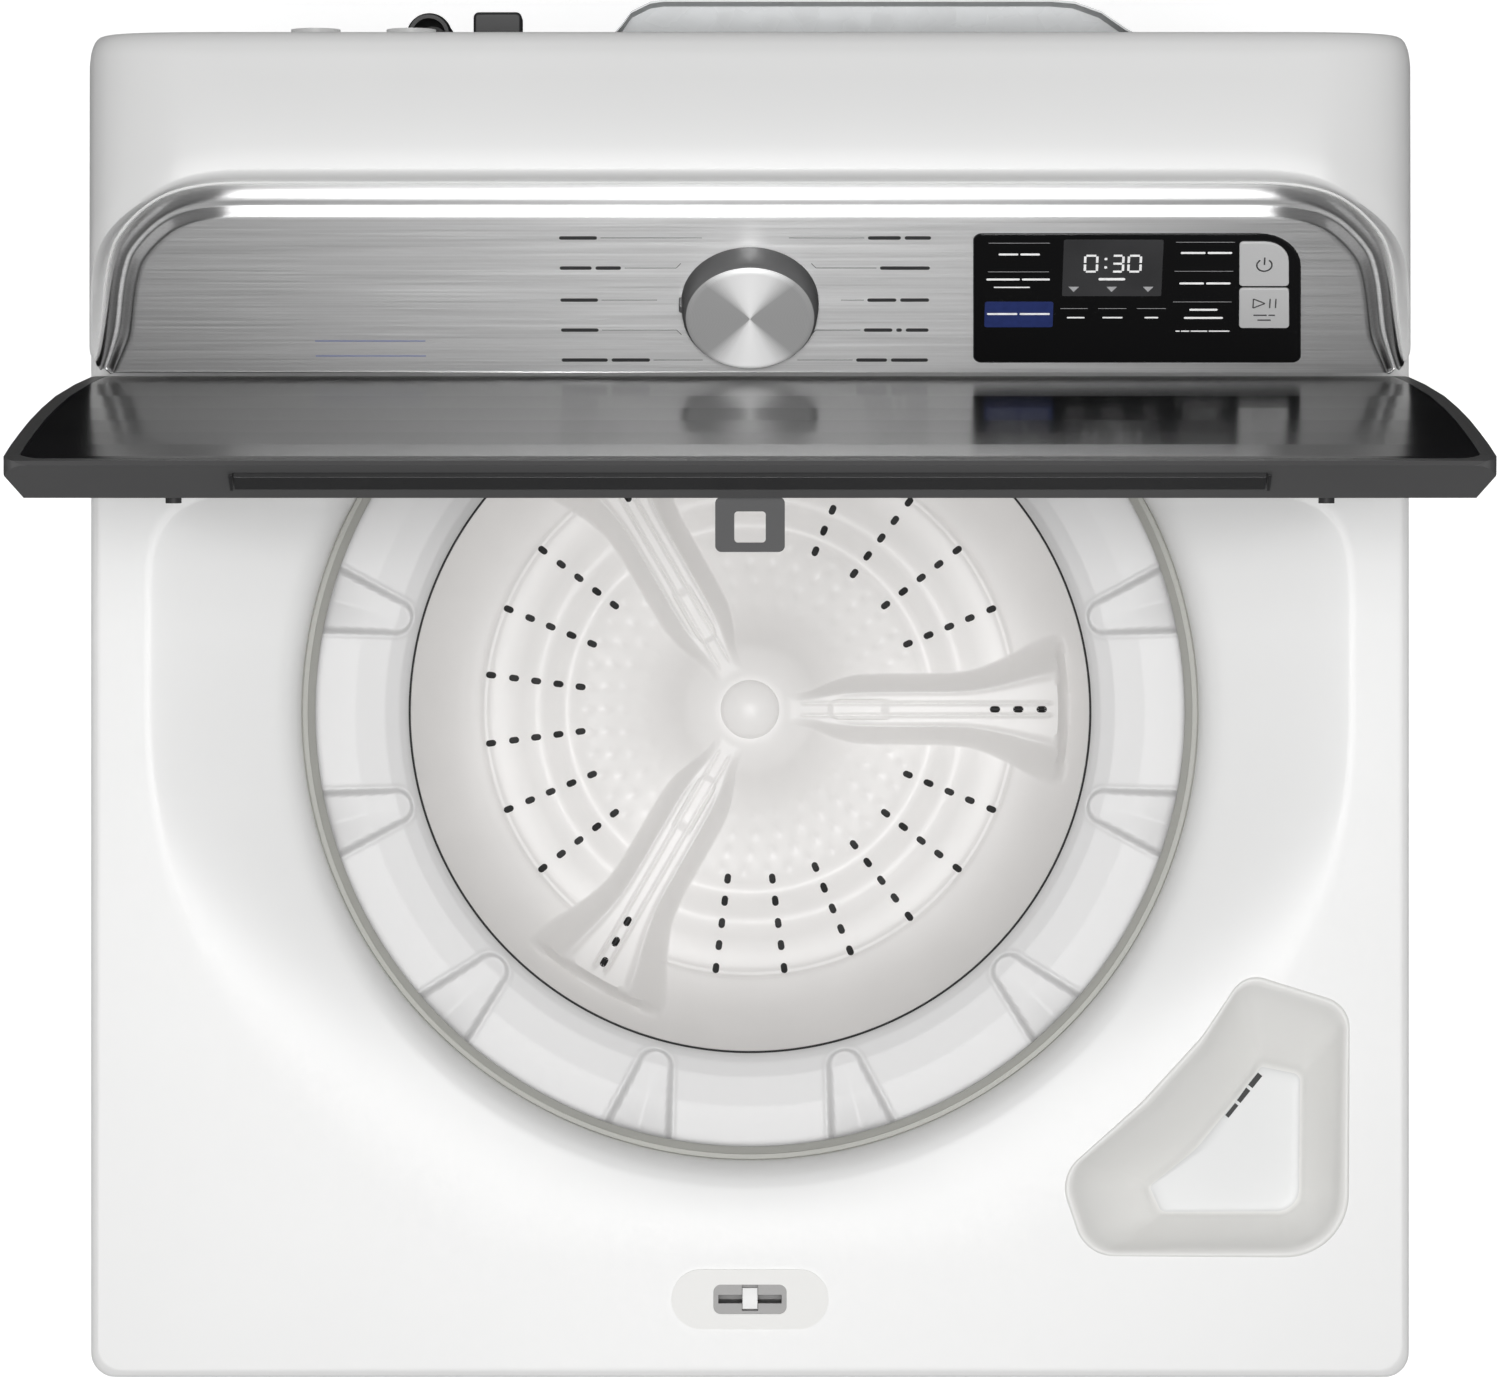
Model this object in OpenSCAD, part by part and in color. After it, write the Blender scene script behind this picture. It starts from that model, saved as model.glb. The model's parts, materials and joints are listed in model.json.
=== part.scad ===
// Top load washing machine: cabinet, hanging tub, direct-drive motor, console and hinged lid.
// Millimetres. +Z up, +X to the machine's right as the user faces it, -Y is the front.
// The origin is on the floor, under the middle of the machine.

/* [Cabinet] */
// Width of the cabinet and of the top panel
body_w = 698.5; // [690:0.5:706]
// Distance from the origin to the front edge of the top panel
front_reach = 365; // [363:1:368]
// Height of the top panel above the floor
deck_h = 938; // [930:1:946]
// Thickness of the sheet steel
sheet = 1.2; // [0.8:0.1:1.4]

/* [Tub opening] */
// Distance from the origin to the spin axis, towards the back
axis_y = -12.5; // [-14:0.5:-11]
// Radius of the opening in the top panel
opening_r = 237; // [235:0.5:239]
// Radius where the bowl round the opening starts
bowl_r = 285; // [282:1:288]

/* [Tub and basket] */
// Inner radius of the outer tub
tub_r = 285; // [283:1:288]
// Inner radius of the basket wall
basket_r = 262; // [258:1:264]
// Inner radius of the balance ring
ring_inner_r = 182; // [178:1:186]
// Outer radius of the wash plate
plate_r = 238; // [230:1:240]
// Height of the basket floor above the floor
basket_floor = 352; // [350:1:356]

/* [Lid] */
// Half of the lid's width
lid_half_w = 345; // [343:1:346]
// Angle by which the lid stands open
lid_open = 86; // [84:1:88]
// Distance from the origin to the hinge axis, towards the back
hinge_y = 138; // [137:0.5:139]
// Height of the hinge axis above the top panel
hinge_up = 20; // [19.5:0.5:20.5]

/* [Console] */
// Diameter of the selector knob
knob_d = 70.8; // [66:0.2:74]
// Height of the selector knob
knob_h = 16.8; // [14:0.2:20]

/* [Power cord] */
// Diameter of the power cord
cord_d = 8; // [7:0.5:8.5]

/* [Hidden] */

// Cabinet
half_w = body_w / 2;
wrap_half = half_w - 1.2;
wrap_front = -front_reach + 1.5;
wrap_back = 338.8;
frame_z = 22;
skirt_h = 38;
skirt_z = deck_h - skirt_h;
corner_r = 13;
foot_xy = [[-310, -328], [310, -328], [-310, 300], [310, 300]];
stem_r = 4.95;

// Opening
chord_y = 153;
lip_z = deck_h - 34;
bowl_z = deck_h - 30;

// Lid, drawn closed and then turned open about the hinge axis
hinge_z = deck_h + hinge_up;
lid_under = 3.3;
// Outer surface of the closed lid, from back to front: distance back, height above the top panel
crown = [
    [150, 44], [146, 46.4], [115, 46.8], [21.5, 45.7], [-86, 43], [-159, 39.4],
    [-219, 35.5], [-267, 31.4], [-310.5, 27.3], [-346, 23.2], [-356, 21.4], [-358.1, 19.4]
];
glass_t = 3.4;
glass_inset = 7;
ear_x = 300;
pin_r = 4;
pivot_r = 4.05;

// Lock
lock_y = -323.4;
slot_half = 16.8;

// Dispenser: outline at the top panel and outline of the floor, point for point
cup_top = [
    [256, -155.5], [271, -155.5], [304, -166], [314, -176], [314, -271], [300, -292.5], [289, -298],
    [194, -299], [180, -291], [170, -270], [170, -252.5], [181, -240], [206, -219], [229, -198], [246, -166]
];
cup_floor = [
    [272, -203], [276, -200.5], [292.6, -205], [295, -210], [294.5, -266], [290, -274], [280, -280],
    [221, -281], [216, -277], [214, -271], [213.5, -267], [221, -260], [233, -251], [246, -238], [259, -219]
];
cup_depth = 42;
cup_wall = 1.8;

// Console: side profile of the shell, distance back and height above the top panel
shell_side = [
    [170, 0], [170, 60], [166.5, 62.2], [243, 130.4], [257, 138.2], [264, 140.4], [300, 138.6],
    [324, 133], [334, 124], [337, 112], [337, 0]
];
shell_side_in = [
    [172.6, -1], [172.6, 61], [171, 62.6], [244.3, 128], [258, 135.6], [264, 137.8], [299.6, 136],
    [322.6, 130.8], [331.8, 122.6], [334.4, 111.6], [334.4, -1]
];
// Front silhouette of the shell and of the fascia, half width and height above the top panel
shell_front = [[349, 0], [348, 40], [345, 92], [341, 112], [334, 128], [322, 138], [300, 142], [0, 142]];
shell_front_in = [
    [346.4, -1], [345.4, 40], [342.4, 91], [338.6, 110.6], [332, 126], [321, 135.4], [300, 139.4], [0, 139.4]
];
fascia_front = [
    [341.5, 60], [340, 70], [335.5, 83], [330, 103], [327, 111], [322.5, 119], [317, 125.5], [310, 131],
    [298, 136.5], [287, 139.4], [275, 141.2], [261, 142.2], [0, 142.2]
];
// Face of the fascia: the point at its lower edge, and its slope
face_y = 164.5;
face_z = deck_h + 64;
face_tilt = atan2(69, 77.5);
knob_u = 48.9;
shaft_r = 3;
// Display panel outline on the face: lower left, lower right, upper right, upper left
panel_pts = [[116.6, 7.3], [286.2, 7.3], [282.1, 91.9], [114.9, 91.9]];
panel_round = [4, 4, 22, 4];
power_pts = [[252.3, 58.6], [277.9, 58.6], [276.4, 87.3], [251.2, 87.3]];
power_round = [2, 2, 13, 2];
start_pts = [[253.4, 30.8], [279.4, 30.8], [278, 57], [252.4, 57]];
start_round = [2, 2, 2, 2];
key_gap = 0.4;

// Tub and drive
tub_floor = 318;
tub_top = 872;
ring_top = 886;
cover_z = 889.5;
lug_half = 290;
lug_z = 335;
rod_r = 4;
spring_foot = 214;
spring_r = 13;
spring_wire = 2;
shaft_radius = 8;
spin_r = 17.5;
run = 0.05;
pump_xy = [-150, 188];
tube_xy = [200, 240];

// Rear panel: outline in plan from left to right
bulge = [
    [-334, 340], [-134, 340], [-131, 341], [-83, 341], [-75, 344], [-68, 352], [-63, 359], [-53, 364],
    [-46, 365], [160, 365], [172, 364], [186, 359], [199, 350], [212, 343], [228, 340], [334, 340]
];
screw_x = [-322, 322];
screw_z = [80:160:880];
screw_r = 2.2;
port_x = [-232, -181];
port_z = 902;
port_r = 13.2;
elbow_x = -173;
elbow_z = 862;

// Power cord: from the rear panel into the hank, and from the hank down to the plug
cord_out = [
    [-136, 353, 815], [-136, 353, 808], [-136.3, 353.4, 801], [-136.6, 353.6, 798]
];
cord_in = [
    [-148, 347.5, 592], [-148, 347.8, 586], [-148, 348.8, 579], [-148, 350, 571],
    [-148, 351.1, 563], [-148, 351.7, 556], [-148, 351.8, 549.6]
];
hank_x = -116;
hank_z = 690;
hank_run = 150;
hank_turn = 32;
hank_back = 343.5;
hank_thick = 16;
relief_x = -136;

// Rounded rectangle between two corners
module slab(x0, y0, x1, y1, r) {
    translate([x0 + r, y0]) square([x1 - x0 - 2 * r, y1 - y0]);
    translate([x0, y0 + r]) square([x1 - x0, y1 - y0 - 2 * r]);
    for (x = [x0 + r, x1 - r], y = [y0 + r, y1 - r]) translate([x, y]) circle(r = r, $fn = 48);
}

module tube(ro, ri, h) {
    difference() {
        cylinder(r = ro, h = h, $fn = 96);
        translate([0, 0, -1]) cylinder(r = ri, h = h + 2, $fn = 96);
    }
}

module on_axis(z = 0) { translate([0, axis_y, z]) children(); }

// Children lie in the plane of the console face: x along it, y up it, z out of it
module on_face() { translate([0, face_y, face_z]) rotate([face_tilt, 0, 0]) children(); }

module side_extrude(half, pts) {
    translate([-half, 0, 0]) rotate([90, 0, 90]) linear_extrude(2 * half) polygon(pts);
}

module front_extrude(pts) {
    both = concat(pts, [for (i = [len(pts) - 1:-1:0]) [-pts[i][0], pts[i][1]]]);
    translate([0, 400, 0]) rotate([90, 0, 0]) linear_extrude(800) polygon(both);
}

// Corner points of a polygon replaced by arcs of the given radii
function unit(v) = v / norm(v);
function corner(p, a, b, r) =
    let (
        u = unit(a - p),
        v = unit(b - p),
        half = acos(u * v) / 2,
        c = p + unit(u + v) * r / sin(half),
        s = p + u * r / tan(half) - c,
        e = p + v * r / tan(half) - c,
        turn = atan2(s[0] * e[1] - s[1] * e[0], s * e)
    )
    [for (i = [0:6])
        let (t = turn * i / 6)
        c + [s[0] * cos(t) - s[1] * sin(t), s[0] * sin(t) + s[1] * cos(t)]];
function rounded(pts, radii) = [
    for (i = [0:len(pts) - 1])
        each corner(pts[i], pts[(i + len(pts) - 1) % len(pts)], pts[(i + 1) % len(pts)], radii[i])
];

// Tube along a list of points: frames keep the ring square to the path
function path_dir(p, i) = unit(p[min(i + 1, len(p) - 1)] - p[max(i - 1, 0)]);
function side_of(d) = unit(cross(d, abs(d[0]) < 0.8 ? [1, 0, 0] : [0, 1, 0]));
function next_side(s, d) = unit(s - d * (s * d));
function sides(p, i) = i == 0 ? side_of(path_dir(p, 0)) : next_side(sides(p, i - 1), path_dir(p, i));
module sweep(p, r, n) {
    rings = [for (i = [0:len(p) - 1])
        let (d = path_dir(p, i), a = sides(p, i), b = cross(d, a))
        [for (k = [0:n - 1]) p[i] + r * (a * cos(360 * k / n) + b * sin(360 * k / n))]];
    pts = [for (q = rings) each q];
    last = (len(p) - 1) * n;
    walls = [for (i = [0:len(p) - 2], k = [0:n - 1])
        [i * n + k, i * n + (k + 1) % n, (i + 1) * n + (k + 1) % n, (i + 1) * n + k]];
    ends = [[for (k = [n - 1:-1:0]) k], [for (k = [0:n - 1]) last + k]];
    polyhedron(pts, concat(walls, ends));
}

// Solid between two outlines with the same number of points, at two heights
module loft(low, z0, high, z1) {
    n = len(low);
    pts = concat([for (p = low) [p[0], p[1], z0]], [for (p = high) [p[0], p[1], z1]]);
    walls = [for (i = [0:n - 1]) each [
        [i, (i + 1) % n, n + (i + 1) % n],
        [i, n + (i + 1) % n, n + i]]];
    polyhedron(pts, concat(walls, [[for (i = [n - 1:-1:0]) i]], [[for (i = [0:n - 1]) n + i]]));
}

// ---- cabinet ----

module screw_holes() {
    for (x = screw_x, z = screw_z) translate([x, wrap_back - 4, z]) rotate([-90, 0, 0])
        cylinder(r = screw_r + 0.2, h = 10, $fn = 32);
}

module cabinet_wrap() color("white") {
    difference() {
        translate([0, 0, frame_z + 3]) linear_extrude(deck_h - 6 - frame_z - 3) difference() {
            slab(-wrap_half, wrap_front, wrap_half, wrap_back, corner_r - 1);
            slab(-wrap_half + sheet, wrap_front + sheet, wrap_half - sheet, wrap_back - sheet,
                corner_r - 1 - sheet);
            translate([-wrap_half + 30, wrap_back - 8]) square([2 * wrap_half - 60, 16]);
        }
        screw_holes();
    }
}

module base_frame() color([0.62, 0.64, 0.65]) {
    difference() {
        union() {
            translate([0, 0, frame_z]) linear_extrude(3) difference() {
                slab(-wrap_half, wrap_front, wrap_half, wrap_back - 2, corner_r - 1);
                slab(-285, -305, 285, 272, 20);
            }
            translate([0, 0, frame_z]) linear_extrude(26) difference() {
                slab(-288, -308, 288, 275, 22);
                slab(-285, -305, 285, 272, 20);
            }
            translate([-215, 100, frame_z]) cube([130, 174, 3]);
            for (p = foot_xy) translate([p[0], p[1], frame_z]) cylinder(r = 11, h = 12, $fn = 48);
        }
        for (p = foot_xy) translate([p[0], p[1], 0]) cylinder(r = stem_r + run, h = 60, $fn = 48);
    }
}

module leveling_feet() color([0.2, 0.2, 0.21]) {
    for (p = foot_xy) translate([p[0], p[1], 0]) {
        cylinder(r1 = 17, r2 = 19, h = 5, $fn = 48);
        translate([0, 0, 5]) cylinder(r1 = 19, r2 = 12, h = 7, $fn = 48);
        translate([0, 0, 11]) cylinder(r = stem_r, h = 38, $fn = 48);
    }
}

module foot_locknuts() color([0.7, 0.7, 0.68]) {
    for (p = foot_xy) translate([p[0], p[1], 15.5]) difference() {
        cylinder(r = 10, h = 6.4, $fn = 6);
        translate([0, 0, -1]) cylinder(r = stem_r + run, h = 9, $fn = 48);
    }
}

module rear_panel() color([0.66, 0.68, 0.69]) {
    n = len(bulge);
    inner = [for (i = [n - 1:-1:0]) bulge[i] - [0, sheet]];
    fill = concat([for (i = [5:12]) bulge[i]], [[bulge[12][0], 342], [bulge[5][0], 342]]);
    difference() {
        union() {
            translate([0, 0, frame_z + 3]) linear_extrude(deck_h - frame_z - 4.4)
                polygon(concat(bulge, inner));
            translate([0, 0, 908]) linear_extrude(sheet) polygon(fill);
            translate([0, 0, 52]) linear_extrude(sheet) polygon(fill);
        }
        for (x = port_x) translate([x, 360, port_z]) rotate([90, 0, 0])
            cylinder(r = port_r + 1.5, h = 40, $fn = 64);
        translate([elbow_x, 360, elbow_z - 42]) rotate([90, 0, 0]) cylinder(r = 15, h = 40, $fn = 64);
        screw_holes();
    }
}

module rear_panel_screws() color([0.75, 0.75, 0.74]) {
    for (x = screw_x, z = screw_z) translate([x, 340, z]) rotate([-90, 0, 0]) {
        cylinder(r = 6, h = 1, $fn = 32);
        translate([0, 0, 0.8]) cylinder(r = 4.5, h = 3.4, $fn = 6);
        translate([0, 0, -8]) cylinder(r = screw_r, h = 9, $fn = 32);
    }
}

module access_plug() color([0.85, 0.86, 0.85]) {
    translate([262, 340, 890]) rotate([-90, 0, 0]) {
        intersection() {
            translate([0, 0, -28.5]) sphere(r = 38, $fn = 96);
            cylinder(r = 22, h = 12, $fn = 64);
        }
        cylinder(r = 24, h = 1.5, $fn = 64);
    }
}

module before_chord() { translate([-400, -400, deck_h - 100]) cube([800, 400 + chord_y, 200]); }

module top_panel() color("white") {
    difference() {
        translate([0, 0, skirt_z]) linear_extrude(skirt_h)
            slab(-half_w, -front_reach, half_w, 337.5, corner_r);
        translate([0, 0, skirt_z - 1]) linear_extrude(skirt_h - sheet + 1)
            slab(-half_w + sheet, -front_reach + sheet, half_w - sheet, 360, corner_r - sheet);
        intersection() {
            on_axis(deck_h - 20) cylinder(r = bowl_r, h = 40, $fn = 128);
            before_chord();
        }
        translate([0, 0, deck_h - 20]) linear_extrude(40) polygon(cup_top);
        translate([0, 0, deck_h - 20]) linear_extrude(40) slab(-38, lock_y - 12.5, 38, lock_y + 12.5, 12);
        translate([tube_xy[0], tube_xy[1], deck_h - 20]) cylinder(r = 8, h = 40, $fn = 48);
        translate([0, 0, deck_h - 20]) linear_extrude(40) slab(230, 190, 290, 215, 4);
    }
    intersection() {
            on_axis() rotate_extrude($fn = 128) polygon([
                [bowl_r + 1, deck_h], [bowl_r - 6, deck_h - 1.5], [bowl_r - 18, deck_h - 7],
                [opening_r + 14, bowl_z + 8],
                [opening_r + 1.4, lip_z + 10], [opening_r + 1.4, lip_z], [opening_r + 2.6, lip_z],
                [opening_r + 2.6, bowl_z + 2], [opening_r + 14.6, bowl_z + 6.8],
                [bowl_r - 17.4, deck_h - 8.2],
                [bowl_r - 5.6, deck_h - 2.7], [bowl_r + 1, deck_h - 1.2]
            ]);
            before_chord();
    }
    translate([-236, chord_y - sheet, lip_z]) cube([472, sheet, deck_h - lip_z]);
}

module opening_trim() color([0.72, 0.72, 0.68]) {
    intersection() {
        on_axis() rotate_extrude($fn = 128) polygon([
            [opening_r - 4.5, lip_z + 3], [opening_r - 3, lip_z - 4], [opening_r + 4.4, lip_z - 4],
            [opening_r + 4.4, lip_z + 6],
            [opening_r + 2.8, lip_z + 6], [opening_r + 2.8, lip_z - 1], [opening_r + 1.2, lip_z - 1],
            [opening_r + 1.2, lip_z + 9], [opening_r - 1.5, lip_z + 9]
        ]);
        translate([-300, -300, lip_z - 10]) cube([600, 300 + chord_y - 3, 40]);
    }
    translate([-170, chord_y - 6, lip_z - 4]) cube([340, 4.6, 8]);
}

// ---- detergent dispenser ----

module dispenser_cup() color([0.93, 0.92, 0.89]) {
    inner_top = [for (p = cup_top) p + unit([250, -240] - p) * cup_wall];
    outer_top = [for (p = cup_top) p + unit([250, -240] - p) * 0.4];
    rim = [for (p = cup_top) p + unit(p - [250, -240]) * 3];
    outer_floor = [for (p = cup_floor) p + unit(p - [258, -245]) * cup_wall];
    difference() {
        union() {
            loft(outer_floor, deck_h - cup_depth - cup_wall, outer_top, deck_h);
            translate([0, 0, deck_h]) linear_extrude(0.8) polygon(rim);
        }
        loft(cup_floor, deck_h - cup_depth, inner_top, deck_h + 1);
        for (p = [[269.5, -204.5], [264.5, -212.5], [258, -221]])
            translate([p[0], p[1], deck_h - cup_depth]) rotate([0, 0, -38]) cube([8, 7, 2.2], center = true);
    }
}

// ---- lid lock ----

module lid_lock_bezel() color([0.9, 0.9, 0.88]) {
    translate([0, 0, deck_h]) linear_extrude(1.6) difference() {
        slab(-41.5, lock_y - 15.8, 41.5, lock_y + 15.8, 15.6);
        slab(-19.4, lock_y - 7.8, 19.4, lock_y + 7.8, 4);
    }
    translate([0, 0, deck_h - 4.4]) linear_extrude(4.4) difference() {
        slab(-37.6, lock_y - 12.1, 37.6, lock_y + 12.1, 11.8);
        slab(-21, lock_y - 9.4, 21, lock_y + 9.4, 4);
    }
}

module lid_lock_housing() color([0.5, 0.5, 0.5]) {
    translate([0, lock_y, 0]) difference() {
        union() {
            translate([0, 0, deck_h - 34]) linear_extrude(29) slab(-40, -15, 40, 17.5, 4);
            translate([0, 0, deck_h - 5]) linear_extrude(5) slab(-20.6, -9, 20.6, 9, 4);
        }
        translate([-slot_half, -2.3, deck_h - 28]) cube([2 * slot_half, 4.6, 40]);
        translate([-4.3, -6.2, deck_h - 8.8]) cube([8.6, 14.5, 16]);
        translate([-4.3, -6.2, deck_h - 8.8]) cube([8.6, 26, 4.8]);
    }
}

module lid_lock_bolt() color([0.92, 0.92, 0.9]) {
    translate([-3.95, lock_y - 5.5, deck_h - 8.2]) cube([7.9, 11, 3.6]);
}

// ---- hinges ----

module hinge_brackets() color([0.75, 0.76, 0.77]) {
    for (s = [-1, 1]) translate([s * ear_x, hinge_y, deck_h]) difference() {
        union() {
            translate([-14, -11, 0]) cube([28, 28, 2]);
            translate([-4, -9, 0]) cube([8, 18, hinge_up]);
            translate([-4, 0, hinge_up]) rotate([0, 90, 0]) cylinder(r = 9, h = 8, $fn = 64);
        }
        translate([-5, 0, hinge_up]) rotate([0, 90, 0]) cylinder(r = pin_r, h = 10, $fn = 64);
    }
}

module hinge_pins() color([0.8, 0.8, 0.8]) {
    for (s = [-1, 1]) translate([s * ear_x - 15, hinge_y, hinge_z]) rotate([0, 90, 0])
        cylinder(r = pin_r, h = 30, $fn = 64);
}

// ---- lid ----

// Turns its children from closed to open about the hinge axis
module opened() {
    translate([0, hinge_y, hinge_z]) rotate([-lid_open, 0, 0]) translate([0, -hinge_y, -hinge_z]) children();
}

// Space inside the lid's outline, shrunk by an inset, between its underside plus rise and its crown less drop
module lid_space(inset, drop, rise, front_inset = 0) {
    side = concat(
        [for (p = crown) [p[0], p[1] - drop]],
        [[-334.3 - rise * 0.6, lid_under + rise], [146, lid_under + rise], [150, lid_under + rise + 4]]
    );
    outline = [
        [lid_half_w, 60], [lid_half_w, 15], [lid_half_w - 8, lid_under], [lid_half_w - 8, -20], [0, -20]
    ];
    both = concat([[0, 60]], outline);
    intersection() {
        translate([0, 0, deck_h]) side_extrude(lid_half_w, side);
        translate([0, 0, deck_h - 5]) linear_extrude(80)
            slab(-lid_half_w + inset, -358.1 + max(inset, front_inset), lid_half_w - inset, 150 - inset, 12);
        translate([0, 0, deck_h]) front_extrude(both);
    }
}

module hinge_slots() {
    for (s = [-1, 1]) translate([s * ear_x - 17.5, hinge_y - 13, deck_h - 5]) cube([35, 40, hinge_up + 18.3]);
}

module lid_frame() color([0.22, 0.22, 0.23]) opened() {
    difference() {
        lid_space(0, 0, 0);
        intersection() {
            translate([0, 0, deck_h]) linear_extrude(75)
                slab(-lid_half_w + glass_inset, glass_inset - 358.1,
                    lid_half_w - glass_inset, 150 - glass_inset, 12);
            translate([0, 0, deck_h]) side_extrude(lid_half_w, concat(
                [for (p = crown) [p[0], p[1] - glass_t]], [[-358.1, 80], [150, 80]]));
        }
        lid_space(14, 6, -1, 27);
        translate([0, 0, deck_h])
            side_extrude(239, [[-353.5, 14], [-342.8, 7], [-341.8, 11.3], [-351.8, 17.6]]);
        hinge_slots();
    }
}

module lid_glass() color([0.03, 0.03, 0.035]) opened() {
    difference() {
        lid_space(glass_inset + 0.3, 0, 0);
        translate([0, 0, deck_h]) side_extrude(lid_half_w + 1, concat(
            [for (p = crown) [p[0], p[1] - glass_t + 0.1]], [[-360, -10], [152, -10]]));
    }
}

module lid_inner_panel() color([0.93, 0.93, 0.93]) opened() {
    difference() {
        union() {
            translate([0, 0, deck_h + lid_under]) linear_extrude(2.2) slab(-330.7, -330.8, 330.7, 135.7, 12);
            for (x = [-270, -90, 90, 270]) translate([x - 1, -320, deck_h + lid_under]) cube([2, 420, 9]);
        }
        hinge_slots();
    }
}

module lid_hinge_arms() color([0.75, 0.76, 0.77]) opened() {
    for (s = [-1, 1]) translate([s * ear_x, hinge_y, hinge_z]) difference() {
        union() {
            for (x = [-14.6, 5]) translate([x, 0, 0]) {
                rotate([0, 90, 0]) cylinder(r = 8, h = 9.6, $fn = 64);
                translate([0, -8, 0]) cube([9.6, 16, 12.6]);
            }
            translate([-14.6, -90, 10.6]) cube([29.2, 98, 2.2]);
        }
        translate([-16, 0, 0]) rotate([0, 90, 0]) cylinder(r = pivot_r, h = 32, $fn = 64);
    }
}

module lid_strike() color([0.4, 0.4, 0.41]) opened() {
    difference() {
        translate([0, lock_y + 1.5, 0]) rotate([90, 0, 0]) linear_extrude(3)
            slab(-16.2, deck_h - 22.3, 16.2, deck_h + lid_under, 3);
        translate([0, lock_y + 5, 0]) rotate([90, 0, 0]) linear_extrude(10)
            slab(-7.3, deck_h - 18, 7.3, deck_h - 3.4, 1.6);
    }
}

module lid_bumpers() color([0.08, 0.08, 0.08]) opened() {
    for (x = [-268, 268]) translate([x, -327, deck_h + 0.6])
        cylinder(r = 3.75, h = lid_under - 0.6, $fn = 32);
}

// ---- console ----

module console_housing() color([0.96, 0.96, 0.96]) {
    difference() {
        intersection() {
            translate([0, 0, deck_h]) side_extrude(half_w, shell_side);
            translate([0, 0, deck_h]) front_extrude(shell_front);
        }
        intersection() {
            translate([0, 0, deck_h]) side_extrude(half_w, shell_side_in);
            translate([0, 0, deck_h]) front_extrude(shell_front_in);
        }
        on_face() translate([0, knob_u, -20]) cylinder(r = 16, h = 30, $fn = 64);
        on_face() translate([0, 0, -20]) linear_extrude(30) slab(119, 10, 283, 89.5, 4);
    }
}

module console_fascia() color([0.72, 0.72, 0.72]) {
    difference() {
        intersection() {
            translate([0, 0, deck_h]) side_extrude(half_w, [
                [face_y, 64], [242, 133], [249, 138], [256, 141], [264, 142], [264, 140.9], [256.6, 139.6],
                [249.8, 136.6], [242.9, 131.9], [165.4, 62.9]
            ]);
            translate([0, 0, deck_h]) front_extrude(fascia_front);
        }
        on_face() translate([0, knob_u, -10]) cylinder(r = 7, h = 20, $fn = 48);
        on_face() translate([0, 0, -10]) linear_extrude(20) polygon(rounded(panel_pts, panel_round));
    }
}

module key_hole(pts, radii) {
    c = (pts[0] + pts[2]) / 2;
    wide = [for (p = pts) p + [sign(p[0] - c[0]), sign(p[1] - c[1])] * key_gap];
    translate([0, 0, -10]) linear_extrude(20) polygon(rounded(wide, radii));
}

module display_panel() color([0.02, 0.02, 0.025]) on_face() {
    shrunk = [for (p = panel_pts) p - [sign(p[0] - 200), sign(p[1] - 50)] * 0.15];
    difference() {
        translate([0, 0, -2.5]) linear_extrude(2.7) polygon(rounded(shrunk, panel_round));
        key_hole(power_pts, power_round);
        key_hole(start_pts, start_round);
    }
}

module control_board() color([0.1, 0.35, 0.2]) {
    on_face() translate([118, 10, -12]) cube([165, 78, 1.6]);
    for (p = [[130, 25], [160, 60], [230, 25]]) on_face() translate([p[0], p[1], -15.5]) cube([14, 14, 3.6]);
    for (p = [[264, 44], [264, 72]]) on_face() translate([p[0] - 3, p[1] - 3, -10.5]) cube([6, 6, 3.2]);
    translate([tube_xy[0], tube_xy[1], deck_h + 62]) cylinder(r = 12, h = 46, $fn = 48);
}

module power_button() color([0.93, 0.93, 0.93]) on_face() {
    translate([0, 0, -4.2]) linear_extrude(5.2) polygon(rounded(power_pts, power_round));
    translate([264, 72, -6.1]) cylinder(r = 3, h = 2.2, $fn = 32);
}

module start_button() color([0.93, 0.93, 0.93]) on_face() {
    translate([0, 0, -4.2]) linear_extrude(5.2) polygon(rounded(start_pts, start_round));
    translate([264, 44, -6.1]) cylinder(r = 3, h = 2.2, $fn = 32);
}

module selector_knob() color([0.75, 0.75, 0.76]) on_face() translate([0, knob_u, 0.4]) {
    rotate_extrude($fn = 96) polygon([
        [0, -14], [shaft_r, -14], [shaft_r, 4], [knob_d / 2 - 5, 4], [knob_d / 2 - 5, 0], [knob_d / 2, 0],
        [knob_d / 2, 2.5], [knob_d / 2 - 2.2, knob_h - 3], [knob_d / 2 - 4.6, knob_h - 0.8],
        [knob_d / 2 - 7, knob_h - 0.4], [0, knob_h - 1]
    ]);
    translate([-knob_d / 2 - 1.2, -2.2, 0]) cube([5, 4.4, 6]);
}

module knob_encoder() color([0.15, 0.15, 0.16]) on_face() translate([0, knob_u, 0]) difference() {
    union() {
        translate([-13, -13, -22]) cube([26, 26, 16]);
        translate([0, 0, -8]) cylinder(r = 6.5, h = 8, $fn = 48);
    }
    translate([0, 0, -15]) cylinder(r = shaft_r + run, h = 30, $fn = 48);
}

// ---- tub ----

module at_lugs() {
    for (x = [-lug_half - 10, lug_half + 10], y = [-lug_half, lug_half])
        translate([x, axis_y + y, 0]) children();
}

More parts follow.
